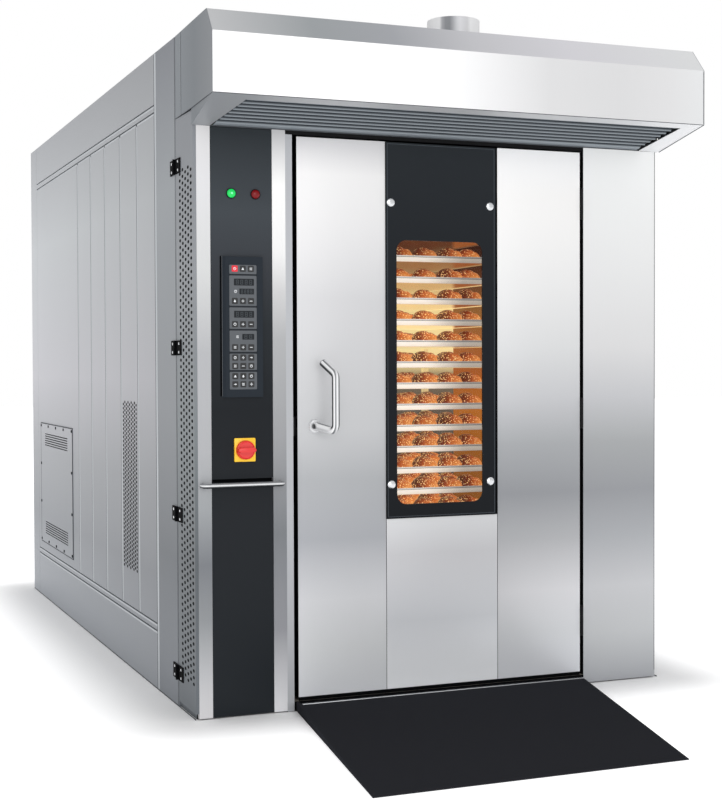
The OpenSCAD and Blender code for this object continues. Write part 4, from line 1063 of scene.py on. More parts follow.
    def finish_as(
        self, materials: Sequence[bpy.types.Material], smooth: float = 35.0
    ) -> bpy.types.Object:
        """Turns the shape into an object in the scene.

        Args:
            materials: one per layer.
            smooth: edges flatter than this angle in degrees are shaded smooth.

        Returns:
            The object, at the frame's origin.
        """
        bmesh.ops.recalc_face_normals(self.mesh, faces=self.mesh.faces)
        for face in self.mesh.faces:
            face.smooth = True
        for edge in self.mesh.edges:
            if len(edge.link_faces) == 2 and edge.calc_face_angle(0.0) > math.radians(smooth):
                edge.smooth = False
        data = bpy.data.meshes.new(self.name)
        self.mesh.to_mesh(data)
        self.mesh.free()
        for material in materials:
            data.materials.append(material)
        made = bpy.data.objects.new(self.name, data)
        bpy.context.scene.collection.objects.link(made)
        return made


def facing_front(x: float, mm: float, z: float) -> Matrix:
    """A matrix for a turned form whose Z axis points at the viewer in front.

    Args:
        x: place across, in metres.
        mm: depth of the form's base, in millimetres.
        z: height, in metres.

    Returns:
        The matrix.
    """
    return Matrix.Translation((x, depth(mm), z)) @ Matrix.Rotation(math.pi / 2, 4, "X")


def rounded(
    x0: float, x1: float, z0: float, z1: float, r: float, steps: int = 8
) -> list[tuple[float, float]]:
    """A rectangle with rounded corners, anticlockwise as seen from the front.

    Args:
        x0: left side.
        x1: right side.
        z0: lower side.
        z1: upper side.
        r: corner radius.
        steps: segments in each corner.

    Returns:
        The outline's (x, z) points.
    """
    out = []
    for cx, cz, start in (
        (x1 - r, z0 + r, -90), (x1 - r, z1 - r, 0), (x0 + r, z1 - r, 90), (x0 + r, z0 + r, 180)
    ):
        for i in range(steps + 1):
            a = math.radians(start + 90 * i / steps)
            out.append((cx + r * math.cos(a), cz + r * math.sin(a)))
    return out


def smooth_path(corners: Sequence[Vector], bend: float, steps: int = 8) -> list[Vector]:
    """Rounds the corners of a path.

    Args:
        corners: the path's corner points.
        bend: bend radius.
        steps: points in each bend.

    Returns:
        The rounded path.
    """
    out = [corners[0]]
    for a, b, c in zip(corners, corners[1:], corners[2:]):
        into, away = (b - a).normalized(), (c - b).normalized()
        half = into.angle(away) / 2
        reach = min(bend * math.tan(half), 0.45 * (b - a).length, 0.45 * (c - b).length)
        start, end = b - into * reach, b + away * reach
        for i in range(steps + 1):
            t = i / steps
            out.append((1 - t) ** 2 * start + 2 * t * (1 - t) * b + t * t * end)
    out.append(corners[-1])
    return out


# ------------------------------------------------------------------ repeats


class Scatter:
    """Repeats one small part at many points through a Geometry Nodes group."""

    def __init__(self) -> None:
        """Builds the shared node group."""
        tree = bpy.data.node_groups.new("repeat_part", "GeometryNodeTree")
        face = tree.interface
        face.new_socket("Geometry", in_out="INPUT", socket_type="NodeSocketGeometry")
        self.sockets = {
            name: face.new_socket(name, in_out="INPUT", socket_type=kind).identifier
            for name, kind in (
                ("Part", "NodeSocketObject"), ("Turn", "NodeSocketFloat"),
                ("Size Spread", "NodeSocketFloat"), ("Seed", "NodeSocketInt"),
                ("Material", "NodeSocketMaterial"),
            )
        }
        face.new_socket("Geometry", in_out="OUTPUT", socket_type="NodeSocketGeometry")
        given = tree.nodes.new("NodeGroupInput")
        result = tree.nodes.new("NodeGroupOutput")
        link = tree.links.new
        part = tree.nodes.new("GeometryNodeObjectInfo")
        link(given.outputs["Part"], part.inputs["Object"])
        turn = tree.nodes.new("FunctionNodeRandomValue")
        turn.data_type = "FLOAT"
        half = add_node(tree, MATH, "MULTIPLY", {1: -1})
        link(given.outputs["Turn"], half.inputs[0])
        link(half.outputs[0], turn.inputs[2])
        link(given.outputs["Turn"], turn.inputs[3])
        link(given.outputs["Seed"], turn.inputs["Seed"])
        angles = tree.nodes.new("ShaderNodeCombineXYZ")
        link(turn.outputs[1], angles.inputs["Z"])
        size = tree.nodes.new("FunctionNodeRandomValue")
        size.data_type = "FLOAT"
        size.inputs[3].default_value = 1
        least = add_node(tree, MATH, "SUBTRACT", {0: 1})
        link(given.outputs["Size Spread"], least.inputs[1])
        link(least.outputs[0], size.inputs[2])
        link(given.outputs["Seed"], size.inputs["Seed"])
        instances = tree.nodes.new("GeometryNodeInstanceOnPoints")
        link(given.outputs["Geometry"], instances.inputs["Points"])
        link(part.outputs["Geometry"], instances.inputs["Instance"])
        link(angles.outputs[0], instances.inputs["Rotation"])
        link(size.outputs[1], instances.inputs["Scale"])
        solid = tree.nodes.new("GeometryNodeRealizeInstances")
        link(instances.outputs[0], solid.inputs[0])
        paint = tree.nodes.new("GeometryNodeSetMaterial")
        link(solid.outputs[0], paint.inputs["Geometry"])
        link(given.outputs["Material"], paint.inputs["Material"])
        link(paint.outputs[0], result.inputs[0])
        self.tree = tree

    def place(
        self,
        name: str,
        part: Shape,
        points: Sequence[Vector],
        material: bpy.types.Material,
        turn: float = 0.0,
        spread: float = 0.0,
        seed: int = 1,
    ) -> bpy.types.Object:
        """Repeats a part and turns the result into one plain mesh.

        Args:
            name: the piece's name.
            part: the part, built round the origin.
            points: where its copies go.
            material: what they are made of.
            turn: largest random turn about Z, in radians.
            spread: largest random shrinking.
            seed: the random seed.

        Returns:
            The object, at the frame's origin.
        """
        source = part.finish_as([material])
        cloud = bpy.data.meshes.new(name + "_points")
        cloud.from_pydata([tuple(p) for p in points], [], [])
        carrier = bpy.data.objects.new(name + "_points", cloud)
        bpy.context.scene.collection.objects.link(carrier)
        modifier = carrier.modifiers.new("repeat", "NODES")
        modifier.node_group = self.tree
        values = {
            "Part": source, "Turn": turn, "Size Spread": spread, "Seed": seed,
            "Material": material,
        }
        for key, value in values.items():
            modifier[self.sockets[key]] = value
        bpy.context.view_layer.update()
        graph = bpy.context.evaluated_depsgraph_get()
        data = bpy.data.meshes.new_from_object(carrier.evaluated_get(graph))
        data.name = name
        made = bpy.data.objects.new(name, data)
        bpy.context.scene.collection.objects.link(made)
        for gone in (carrier, source):
            bpy.data.objects.remove(gone)
        return made


# ------------------------------------------------------------------ the oven


class Assembly:
    """What every sub-assembly needs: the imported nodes, the finishes and the repeats."""

    def __init__(self, nodes: dict, paint: Paintbox, scatter: Scatter) -> None:
        """Keeps the shared tools.

        Args:
            nodes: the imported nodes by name.
            paint: the finishes' materials.
            scatter: the tool that repeats a part.
        """
        self.nodes = nodes
        self.paint = paint
        self.scatter = scatter

    def add(
        self,
        shape: Shape,
        finishes: Sequence[Finish],
        body: str,
        slot: str,
        replaces: Sequence[str] = (),
        smooth: float = 35.0,
    ) -> bpy.types.Object:
        """Finishes a shape and hands it to the frame.

        Args:
            shape: the mesh.
            finishes: one finish per layer.
            body: the body it rides on.
            slot: the record's material slot.
            replaces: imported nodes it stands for.
            smooth: smoothing angle in degrees.

        Returns:
            The object.
        """
        made = shape.finish_as([self.paint.get(f) for f in finishes], smooth)
        return self.keep(made, body, slot, replaces)

    def keep(
        self, made: bpy.types.Object, body: str, slot: str, replaces: Sequence[str] = ()
    ) -> bpy.types.Object:
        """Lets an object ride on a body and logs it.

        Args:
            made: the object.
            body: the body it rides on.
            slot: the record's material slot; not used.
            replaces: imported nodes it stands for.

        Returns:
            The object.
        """
        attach(made, body)
        if replaces:
            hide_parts(*replaces)
        LOG.info("%s: %d faces, rides on %s", made.name, len(made.data.polygons), body)
        return made


class PackedNodes(Assembly):
    """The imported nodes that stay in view, with their finishes."""

    def paint_nodes(self) -> None:
        """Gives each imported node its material."""
        names = {
            TILE: "floor_slab",
            SIDE: "left_cladding right_cladding rear_panel roof_panel access_cover",
            POST_RIGHT: "right_post_panel",
            HOLE: "cover_screws",
            WOOL: "insulation",
            CHAMBER: "chamber_liner steam_generator",
            HEATER: "heater_bank",
            CAST: "fan_motor gearmotor spindle_bearing",
            SATIN: (
                "fan_shaft flue_damper door_liner latch_cam drive_shaft castor_forks "
                "swivel_fork_left swivel_fork_right"
            ),
            PARTITION: "fan_wheel",
            RELAY: "cable_gland electrics",
            LAMP_COVER: "chamber_lamp",
            FASCIA: "hood_shell",
            CHEEK: "hood_cheeks",
            BAFFLE: "hood_baffle",
            FLUE: "flue_collar",
            STRIP_LEFT: "post_strips",
            DARK_PANEL: "control_panels",
            KEYPAD_BODY: "controller_frame",
            KEYPAD_SHEET: "controller_keys",
            LENS_GREEN: "indicator_lamps",
            SWITCH_YELLOW: "switch_plate",
            SWITCH_RED: "switch_knob",
            BRIGHT: "grab_bar glass_studs handle_lever handle_collar",
            SERVICE: "service_door",
            BLACK_AND_SHADE: "service_door_leaves service_post_leaves door_core",
            BLACK: "door_surround door_leaves frame_leaves",
            RAMP: "ramp",
            DOOR_LEFT: "door_panels",
            GLASS_FRAME: "door_glass",
            CLEAR: "inner_glass",
            RUBBER: "door_seal",
            RACK: "rack_frame",
            TRAY_TONES: "trays",
            TREAD: (
                "castor_wheel_front_left castor_wheel_front_right castor_wheel_rear_left "
                "castor_wheel_rear_right"
            ),
        }
        table = {name: finish for finish, text in names.items() for name in text.split()}
        for name, node in self.nodes.items():
            node.data.materials.clear()
            node.data.materials.append(self.paint.get(table[name]))
            for face in node.data.polygons:
                face.material_index = 0
        LOG.info("painted %d packed nodes", len(self.nodes))

    def paint_faces(
        self, name: str, finishes: Sequence[Finish], pick: Callable[[Vector, Vector], int]
    ) -> None:
        """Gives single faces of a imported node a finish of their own.

        Args:
            name: the node.
            finishes: the finishes to choose from, besides the node's first.
            pick: from a face's middle and normal, 0 for the first finish, or 1, 2, ...
        """
        node = self.nodes[name]
        for finish in finishes:
            node.data.materials.append(self.paint.get(finish))
        for face in node.data.polygons:
            face.material_index = pick(node.matrix_world @ face.center, face.normal)

    def paint_details(self) -> None:
        """Paints single faces: lit and shaded tones of the folded sheets, and painted shade in
        holes, edges and the cavity.
        """

        def canopy(middle: Vector, normal: Vector) -> int:
            """Picks the tone of one of the hood's faces: each side takes its own painted light
            or shade, and the faces just above the door take the groove's painted shade.

            Args:
                middle: the face's middle.
                normal: its direction.

            Returns:
                The finish's index.
            """
            if middle.z < 2.104 and middle.y > depth(-20):
                return 5
            if abs(normal.x) > 0.5:
                return 3 if normal.x > 0 and middle.x > 0.95 else 4
            if normal.z < -0.5:
                return 2
            if normal.z > 0.9:
                return 3
            return 1 if normal.z > 0.3 else 0

        def forward(_: Vector, normal: Vector) -> int:
            """Tells faces that look at the door from the rest.

            Args:
                _: the face's middle.
                normal: its direction.

            Returns:
                The finish's index.
            """
            return 1 if normal.y < -0.9 else 0

        def jamb(middle: Vector, normal: Vector) -> int:
            """Tells the steel strip beside the door from the dark frame.

            Args:
                middle: the face's middle.
                normal: its direction.

            Returns:
                The finish's index.
            """
            return 1 if normal.y < -0.9 and middle.x < -0.58 and middle.y < depth(5) else 0

        def cladding(middle: Vector, normal: Vector) -> int:
            """Tells the front sheet and the grooves from the side boards.

            Args:
                middle: the face's middle.
                normal: its direction.

            Returns:
                The finish's index.
            """
            if middle.x > LEFT_X + 0.0002 and middle.y > depth(560) and abs(normal.z) < 0.5:
                return 2
            return 1 if middle.y < depth(544) else 0

        def cover_edges(_: Vector, normal: Vector) -> int:
            """Tells the cover's edges and louvre slots from its face.

            Args:
                _: the face's middle.
                normal: its direction.

            Returns:
                The finish's index.
            """
            return 1 if abs(normal.x) < 0.5 else 0

        def tray_sides(_: Vector, normal: Vector) -> int:
            """Tells a tray's front and underside from its inside.

            Args:
                _: the face's middle.
                normal: its direction.

            Returns:
                The finish's index.
            """
            if normal.z < -0.5:
                return 2
            return 1 if normal.y < -0.9 else 0

        def slab(_: Vector, normal: Vector) -> int:
            """Tells the floor slab's edges, painted black as shade, and its left side, in the
            service door's tone, from its top.

            Args:
                _: the face's middle.
                normal: its direction.

            Returns:
                The finish's index.
            """
            if abs(normal.z) > 0.5:
                return 0
            return 2 if normal.x < -0.5 else 1

        def right_half(middle: Vector, _: Vector) -> int:
            """Tells the right strip from the left one.

            Args:
                middle: the face's middle.
                _: its direction.

            Returns:
                The finish's index.
            """
            return 1 if middle.x > -0.8 else 0

        def hole_walls(middle: Vector, normal: Vector) -> int:
            """Tells the walls of the holes, painted black as shade, from the door's face.

            Args:
                middle: the face's middle.
                normal: its direction.

            Returns:
                The finish's index.
            """
            inside = depth(12) < middle.y < depth(222) and 0.1 < middle.z < 2.1
            return 1 if inside and abs(normal.x) < 0.1 else 0

        # The slab's edges are painted black as shade; its left side takes the service door's
        # tone.
        self.paint_faces("floor_slab", (BLACK_AND_SHADE, SERVICE), slab)
        self.paint_faces("post_strips", (STRIP_RIGHT,), right_half)
        # The holes' walls are painted black: shade inside the holes.
        self.paint_faces("service_door", (BLACK_AND_SHADE,), hole_walls)
        self.paint_faces("hood_shell", (CANOPY, UNDER, SIDE, CHEEK, GROOVE), canopy)
        # The right cheek's outer face takes the side enamel; the rest takes the cheek's shaded
        # copy: painted shade.
        self.paint_faces(
            "hood_cheeks", (SIDE,), lambda middle, normal: int(min(middle.x, normal.x) > 0.5)
        )
        self.paint_faces("chamber_liner", (PARTITION,), forward)
        self.paint_faces("door_surround", (JAMB,), jamb)
        # The insulation's faces towards the door are painted black: shade in the cavity.
        self.paint_faces("insulation", (BLACK_AND_SHADE,), forward)
        self.paint_faces("trays", (TRAY_FRONT, TRAY_UNDER), tray_sides)
        self.paint_faces("left_cladding", (SIDE_FRONT, GROOVE), cladding)
        self.paint_faces("access_cover", (GROOVE,), cover_edges)

    def build(self) -> None:
        """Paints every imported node."""
        self.paint_nodes()
        self.paint_details()


@dataclass(frozen=True)
class DoorSizes:
    """Sizes of the door's front in millimetres, heights above the floor.

    Args:
        left: door's left edge.
        right: door's right edge.
        glass_left: glass panel's left edge.
        glass_right: glass panel's right edge.
        bottom: lower edge.
        top: upper edge.
        glass_bottom: glass panel's lower edge.
        seam: dark gap to the right of the glass panel.
        window: (left, right, lower, upper) of the window.
        window_r: the window's corner radius.
        clamps: heights of the glass clamps.
        handle: the handle's place across and height, in metres.
        handle_r: the handle rod's radius, in metres.
    """

    left: float = -570
    right: float = 600
    glass_left: float = -222
    glass_right: float = 230
    bottom: float = 50
    top: float = 2080
    glass_bottom: float = 686
    seam: float = 10
    window: tuple[float, float, float, float] = (-180, 174, 737, 1718)
    window_r: float = 38
    clamps: tuple[float, float] = (812, 1856)
    handle: tuple[float, float] = (-0.505, 1.035)
    handle_r: float = 0.0138


class Door(Assembly):
    """The door's front: panels, glass, clamps and handle."""

    sizes = DoorSizes()

    def door_front(self) -> None:
        """Builds the door's folded steel panels, the printed glass with a painted highlight
        along its edge, and its clear window.
        """
        d = self.sizes
        z0, z1 = d.bottom * MM, d.top * MM

        def panel(
            name: str, left: float, right: float, low: float, high: float, finish: Finish
        ) -> None:
            """Adds one folded panel.

            Args:
                name: the piece's name.
                left: left side in millimetres.
                right: right side in millimetres.
                low: lower side in metres.
                high: upper side in metres.
                finish: its surface.
            """
            shape = Shape(name)
            shape.box((left * MM, depth(0), low), (right * MM, depth(2), high), bevel=0.0009)
            self.add(shape, [finish], "door", "front_steel", ["door_panels"])

        panel("door_panel_left", d.left, d.glass_left - 1.5, z0, z1, DOOR_LEFT)
        panel("door_panel_right", d.glass_right + d.seam, d.right, z0, z1, DOOR_RIGHT)
        panel(
            "door_panel_low",
            d.glass_left + 0.5,
            d.glass_right + d.seam - 2,
            z0,
            d.glass_bottom * MM - 0.002,
            DOOR_LOW,
        )

        left, right, low, high = (v * MM for v in d.window)
        hole = rounded(left, right, low, high, d.window_r * MM)
        outside = rounded(
            d.glass_left * MM, d.glass_right * MM, d.glass_bottom * MM, z1 - 0.002, 0.002
        )
        frame = Shape("glass_panel")
        frame.ring_plate(outside, hole, (depth(-4), depth(2)))
        self.add(frame, [GLASS_FRAME], "door", "door_glass", ["door_glass"])
        # A painted highlight along the glass panel's edge, 5 mm inside it.
        edge = Shape("glass_edge_line")
        rings = [
            rounded(
                (d.glass_left + inset) * MM,
                (d.glass_right - inset) * MM,
                (d.glass_bottom + inset) * MM,
                z1 - 0.002 - inset * MM,
                0.002,
            )
            for inset in (5, 6.4)
        ]
        edge.ring_plate(rings[0], rings[1], (depth(-4.2), depth(-3.9)))
        self.add(edge, [GLASS_EDGE_HIGHLIGHT], "door", "door_glass")
        pane = Shape("window_pane")
        inset = rounded(
            left + 0.0002, right - 0.0002, low + 0.0002, high - 0.0002, d.window_r * MM - 0.0002
        )
        pane.prism(inset, (depth(-3.5), depth(1.5)))
        self.add(pane, [CLEAR], "door", "clear_glass")

    def glass_clamps(self) -> None:
        """Builds the four domed clamp heads that hold the glass."""
        head = Shape("clamp_head")
        profile = [
            (0, 0), (0.0158, 0), (0.0158, 0.003), (0.0148, 0.0052), (0.0118, 0.0068),
            (0.0064, 0.0078), (0, 0.008),
        ]
        head.lathe(profile, Matrix.Rotation(math.pi / 2, 4, "X"), 32)
        places = [
            Vector((x * MM, depth(-4), z * MM))
            for x in (self.sizes.glass_left + 18, self.sizes.glass_right - 25)
            for z in self.sizes.clamps
        ]
        made = self.scatter.place("glass_clamps", head, places, self.paint.get(BRIGHT))
        self.keep(made, "door", "plain_steel", ["glass_studs"])

    def handle(self) -> None:
        """Builds the bent handle rod, with painted reflection bands, and its stepped collar,
        with painted shade in its grooves.
        """
        x, z = self.sizes.handle
        corners = [
            Vector((x, depth(-5), z)),
            Vector((x, depth(-30), z)),
            Vector((x + 0.045, depth(-100), z - 0.018)),
            Vector((x + 0.045, depth(-100), z + 0.186)),
            Vector((x + 0.018, depth(-40), z + 0.230)),
        ]
        path = smooth_path(corners, 0.024, 10)
        rod = Shape("handle_rod").tube(path, self.sizes.handle_r, VIEW_RIGHT)
        self.add(rod, [CHROME], "handle", "plain_steel", ["handle_lever"], smooth=50)
        collar = Shape("handle_flange")
        collar.lathe(
            [
                (0.014, 0), (0.0245, 0), (0.025, 0.0006), (0.025, 0.0024), (0.0245, 0.003),
                (0.0222, 0.003),
            ],
            facing_front(x, 0, z),
            40,
        )
        for out in (0.003, 0.0079):
            # Each groove's steps take the darker finish: painted shade.
            collar.using(1).lathe(
                [(0.0222, out), (0.0208, out), (0.0208, out + 0.0016)],
                facing_front(x, 0, z),
                40,
            )
            collar.using(0).lathe(
                [
                    (0.0208, out + 0.0016),
                    (0.0226, out + 0.0016),
                    (0.0230, out + 0.0022),
                    (0.0230, out + 0.0043),
                    (0.0226, out + 0.0049),
                    (0.0208 if out < 0.005 else 0.014, out + 0.0049),
                ],
                facing_front(x, 0, z),
                40,
            )
        self.add(
            collar, [COLLAR, COLLAR_GROOVE_SHADE], "door", "plain_steel", ["handle_collar"], smooth=20
        )

    def build(self) -> None:
        """Builds the door's pieces."""
        self.door_front()
        self.glass_clamps()
        self.handle()


@dataclass(frozen=True)
class TrimSizes:
    """Places of the front's trim, in metres.

    Args:
        bar: (left, right, height) of the grab bar.
        bar_r: the grab bar's radius.
        bend: the bend of its corners.
    """

    bar: tuple[float, float, float] = (-0.929, -0.637, 0.832)
    bar_r: float = 0.0088
    bend: float = 0.022


class Trim(Assembly):
    """The grab bar, and the thin seams of the canopy and the right post."""

    sizes = TrimSizes()

    def grab_bar(self) -> None:
        """Builds the level bar in front of the control post, with painted reflection bands, and
        a black sheet of painted shade in the slot behind it.
        """
        left, right, z = self.sizes.bar
        corners = [
            Vector((left, depth(-1), z)),
            Vector((left, depth(-35), z)),
            Vector((right, depth(-35), z)),
            Vector((right, depth(-1), z)),
        ]
        path = smooth_path(corners, self.sizes.bend, 10)
        rod = Shape("grab_rod").tube(path, self.sizes.bar_r, Vector((0, 0, 1)))
        self.add(rod, [CHROME_LEVEL], "body", "plain_steel", ["grab_bar"], smooth=50)
        # A black sheet in the slot behind the bar: painted shade.
        slot = Shape("grab_slot")
        slot.box((-0.889, depth(15.5), 0.79), (-0.667, depth(16.2), 0.875), bevel=0.0001)
        self.add(slot, [BLACK_AND_SHADE], "body", "dark_panel")

    def seams(self) -> None:
        """Builds thin dark lines of painted shade along the seams round the canopy and the
        right post.
        """
        shape = Shape("sheet_seams")
        up = Vector((0, 0, 1))
        front, rear = -1.9962, depth(-2)
        for path, radius in (
            (((-0.9670, front, 2.1634), (0.9670, front, 2.1634)), 0.0014),
            (((0.9668, front, 2.166), (0.9668, front, 2.366)), 0.0022),
            (((0.9668, front, 2.1634), (0.9606, rear, 2.1005)), 0.0022),
            (((-0.9677, front, 2.1634), (-0.9612, rear, 2.1565)), 0.0012),
            (((-0.9612, rear, 2.1565), (-0.9556, -1.470, 2.1555)), 0.0012),
            (((0.9412, depth(0), 0.03), (0.9412, depth(0), 2.099)), 0.0012),
        ):
            ends = [Vector(p) for p in path]
            shape.tube(
                ends,
                radius,
                up if abs((ends[1] - ends[0]).normalized().z) < 0.9 else VIEW_RIGHT,
                8,
            )
        self.add(shape, [GROOVE], "body", "body_panel")
        # The cheek's fold: a painted shade line and a painted highlight line beside it.
        fold = Shape("cheek_fold")
        fold.box((-0.9582, -1.5560, 2.158), (-0.9565, -1.5535, 2.453))
        fold.using(1).box((-0.9582, -1.5534, 2.158), (-0.9565, -1.5512, 2.453))
        self.add(fold, [GROOVE, FOLD_HIGHLIGHT], "body", "body_panel")

    def build(self) -> None:
        """Builds the trim's pieces."""
        self.grab_bar()
        self.seams()


@dataclass(frozen=True)
class ControlSizes:
    """Places on the control post in millimetres.

    Args:
        lamps: the two lamps' places across.
        lamp_z: the lamps' height.
        switch: the switch's place across and height.
        sheet: (left, right, lower, upper) of the key sheet.
        sheet_depth: depth of the sheet's face.
        blocks: start and end of each block of keys, down from the sheet's top.
        key_rows: places of the rows of keys, down from the sheet's top.
    """

    lamps: tuple[float, float] = (-815, -725)
    lamp_z: float = 1866
    switch: tuple[float, float] = (-770, 955)
    sheet: tuple[float, float, float, float] = (-827, -724, 1171, 1614)
    sheet_depth: float = -6.0
    blocks: tuple[tuple[float, float], ...] = (
        (0, 33), (38, 146), (151, 228), (233, 309), (315, 374), (380, 443)
    )
    key_rows: tuple[float, ...] = (14.5, 129, 211.5, 293.5, 330, 360, 396, 425)


class ControlPost(Assembly):
    """The post beside the door: lamps, switch and controller."""

    sizes = ControlSizes()

    def lamps(self) -> None:
        """Builds the two domed indicator lamps with their bezels, and a painted glint on the
        green dome.
        """
        for x, finish, spark, name in (
            (self.sizes.lamps[0], LENS_GREEN, LENS_GLINT, "lamp_green"),
            (self.sizes.lamps[1], LENS_RED, LENS_RED, "lamp_red"),
        ):
            shape = Shape(name)
            matrix = facing_front(x * MM, 3, self.sizes.lamp_z * MM)
            shape.using(0).lathe(
                [(0.0150, 0), (0.0185, 0), (0.0185, 0.0026), (0.0177, 0.0036), (0.0150, 0.004)],
                matrix,
            )
            angles = [i * math.pi / 16 for i in range(9)]
            dome = [(0.0158 * math.cos(a), 0.0036 + 0.009 * math.sin(a)) for a in angles]
            dome[-1] = (0, dome[-1][1])
            shape.using(1).lathe(dome, matrix)
            # A small cap on top of each dome: a painted glint on the green lamp, the lens's own
            # red on the red one.
            spot = [
                (0.0042 * math.cos(a), 0.0117 + 0.0016 * math.sin(a)) for a in (0, 0.5, 1.0)
            ]
            shape.using(2).lathe(spot + [(0, 0.0133)], matrix, 16)
            self.add(shape, [BLACK, finish, spark], "body", "lamp_lens", ["indicator_lamps"])

    def main_switch(self) -> None:
        """Builds the square switch plate and the round knob with its grip bar."""
        x, z = (v * MM for v in self.sizes.switch)
        plate = Shape("switch_base")
        plate.prism(
            rounded(x - 0.039, x + 0.039, z - 0.042, z + 0.042, 0.003),
            (depth(-3), depth(3)),
            bevel=0.0015,
        )
        self.add(plate, [SWITCH_YELLOW], "body", "switch_yellow", ["switch_plate"])
        knob = Shape("switch_dial")
        knob.lathe(
            [
                (0, 0), (0.034, 0), (0.034, 0.0125), (0.0328, 0.0155), (0.0305, 0.0162),
                (0.0285, 0.0148), (0, 0.0148),
            ],
            facing_front(x, -3.3, z),
            56,
        )
        knob.prism(
            rounded(x - 0.0335, x + 0.0335, z - 0.0085, z + 0.0085, 0.0080, 6),
            (depth(-34.8), depth(-17)),
            bevel=0.003,
        )
        for i in range(8):
            a = math.tau * (i + 0.5) / 8
            rib_x, rib_z = x + 0.0335 * math.cos(a), z + 0.0335 * math.sin(a)
            knob.box(
                (rib_x - 0.0012, depth(-18.5), rib_z - 0.0012),
                (rib_x + 0.0004, depth(-6), rib_z + 0.0004),
            )
        self.add(knob, [SWITCH_RED], "knob", "switch_red", ["switch_knob"])

    def controller(self) -> None:
        """Builds the key sheet's blocks, displays, keys and pictograms."""
        left, right, bottom, top = self.sizes.sheet
        face = self.sizes.sheet_depth
        shape = Shape("key_sheet")
        shape.using(0).box(
            (left * MM, depth(face), bottom * MM), (right * MM, depth(face + 1), top * MM)
        )
        for start, end in self.sizes.blocks:
            shape.using(1).prism(
                rounded(
                    left * MM + 0.001,
                    right * MM - 0.001,
                    (top - end) * MM,
                    (top - start) * MM - 0.001,
                    0.003,
                    3,
                ),
                (depth(face - 0.5), depth(face)),
            )
        self.add(
            shape, [KEYPAD_SHEET, KEYPAD_BLOCK], "body", "keypad_grey", ["controller_keys"]
        )
        # A dark strip along the controller's left edge is painted shade; the grey strip beside
        # it is a painted highlight.
        edge = Shape("controller_edge")
        low, high = bottom * MM - 0.024, top * MM + 0.030
        edge.box(
            ((left - 31) * MM, depth(0), low), ((left - 25) * MM, depth(3), high), bevel=0.0008
        )
        edge.using(1).box(
            ((left - 24.6) * MM, depth(0.6), low), ((left - 23) * MM, depth(3), high)
        )
        self.add(edge, [BLACK_AND_SHADE, KEYPAD_BLOCK], "body", "keypad_grey")

        screens = Shape("displays")
        digits = Shape("digits")
        for x0, x1, row, count in (
            (18, 92, 62, 4), (38, 92, 95, 4), (18, 92, 176, 4), (48, 92, 256, 2),
        ):
            high = 24 if x0 < 30 else 20
            screens.prism(
                rounded(
                    (left + x0) * MM,
                    (left + x1) * MM,
                    (top - row - high / 2) * MM,
                    (top - row + high / 2) * MM,
                    0.0015,
                    3,
                ),
                (depth(face - 1.0), depth(face - 0.4)),
            )
            step = (x1 - x0 - 8) / count
            for i in range(count):
                self._digit(
                    digits,
                    left + x0 + 4 + step * (i + 0.5),
                    top - row,
                    step * 0.56,
                    high * 0.66,
                    face - 1.1,
                )
        self.add(screens, [DISPLAY], "body", "keypad_grey")
        self.add(digits, [DIGIT], "body", "keypad_grey")

        keys = Shape("key_caps")
        icons = Shape("key_icons")
        for r, row in enumerate(self.sizes.key_rows):
            for column in range(3):
                x, z = left + 21 + column * 30, top - row
                keys.using(1 if r == 0 and column == 0 else 0).prism(
                    rounded(
                        (x - 11) * MM, (x + 11) * MM, (z - 11) * MM, (z + 11) * MM, 0.003, 4
                    ),
                    (depth(face - 0.95), depth(face - 0.4)),
                )
                self._icon(icons, x, z, face - 1.05, self._icon_kind(r, column))
        for x, row, kind in ((24, 95, "ring"), (30, 256, "bars")):
            self._icon(icons, left + x, top - row, face - 0.7, kind)
        self.add(keys, [KEY_CAP, KEY_RED], "body", "keypad_grey")
        self.add(icons, [ICON], "body", "keypad_grey")

    @staticmethod
    def _icon_kind(row: int, column: int) -> str:
        """Names the generic pictogram on a key.

        Args:
            row: the key's row from the top.
            column: the key's column from the left.

        Returns:
            The pictogram's name.
        """
        if row == 0:
            return ("ring", "triangle", "bars")[column]
        if row <= 3:
            return (("drop", "ring", "bars")[row - 1], "plus", "minus")[column]
        lower = (
            ("ring", "plus", "arrow"),
            ("bars", "minus", "ring"),
            ("triangle", "drop", "ring"),
            ("arrow", "bars", "plus"),
        )
        return lower[row - 4][column]

    @staticmethod
    def _icon(shape: Shape, x: float, z: float, face: float, kind: str) -> None:
        """Adds one flat pictogram.

        Args:
            shape: where it goes.
            x: place across in millimetres.
            z: height in millimetres.
            face: depth of its face in millimetres.
            kind: the pictogram's name.
        """
        y = (depth(face), depth(face + 0.3))

        def bar(x0: float, x1: float, z0: float, z1: float) -> None:
            """Adds a rectangle.

            Args:
                x0: left side from the middle.
                x1: right side.
                z0: lower side.
                z1: upper side.
            """
            shape.box(
                ((x + x0) * MM, y[0], (z + z0) * MM), ((x + x1) * MM, y[1], (z + z1) * MM)
            )

        def disc(radius: float, inner: float) -> None:
            """Adds a ring.

            Args:
                radius: its outer radius.
                inner: its inner radius.
            """
            angles = [math.tau * i / 20 for i in range(20)]
            ring = [(math.cos(a), math.sin(a)) for a in angles]
            shape.ring_plate(
                [((x + c * radius) * MM, (z + s * radius) * MM) for c, s in ring],
                [((x + c * inner) * MM, (z + s * inner) * MM) for c, s in ring],
                y,
            )

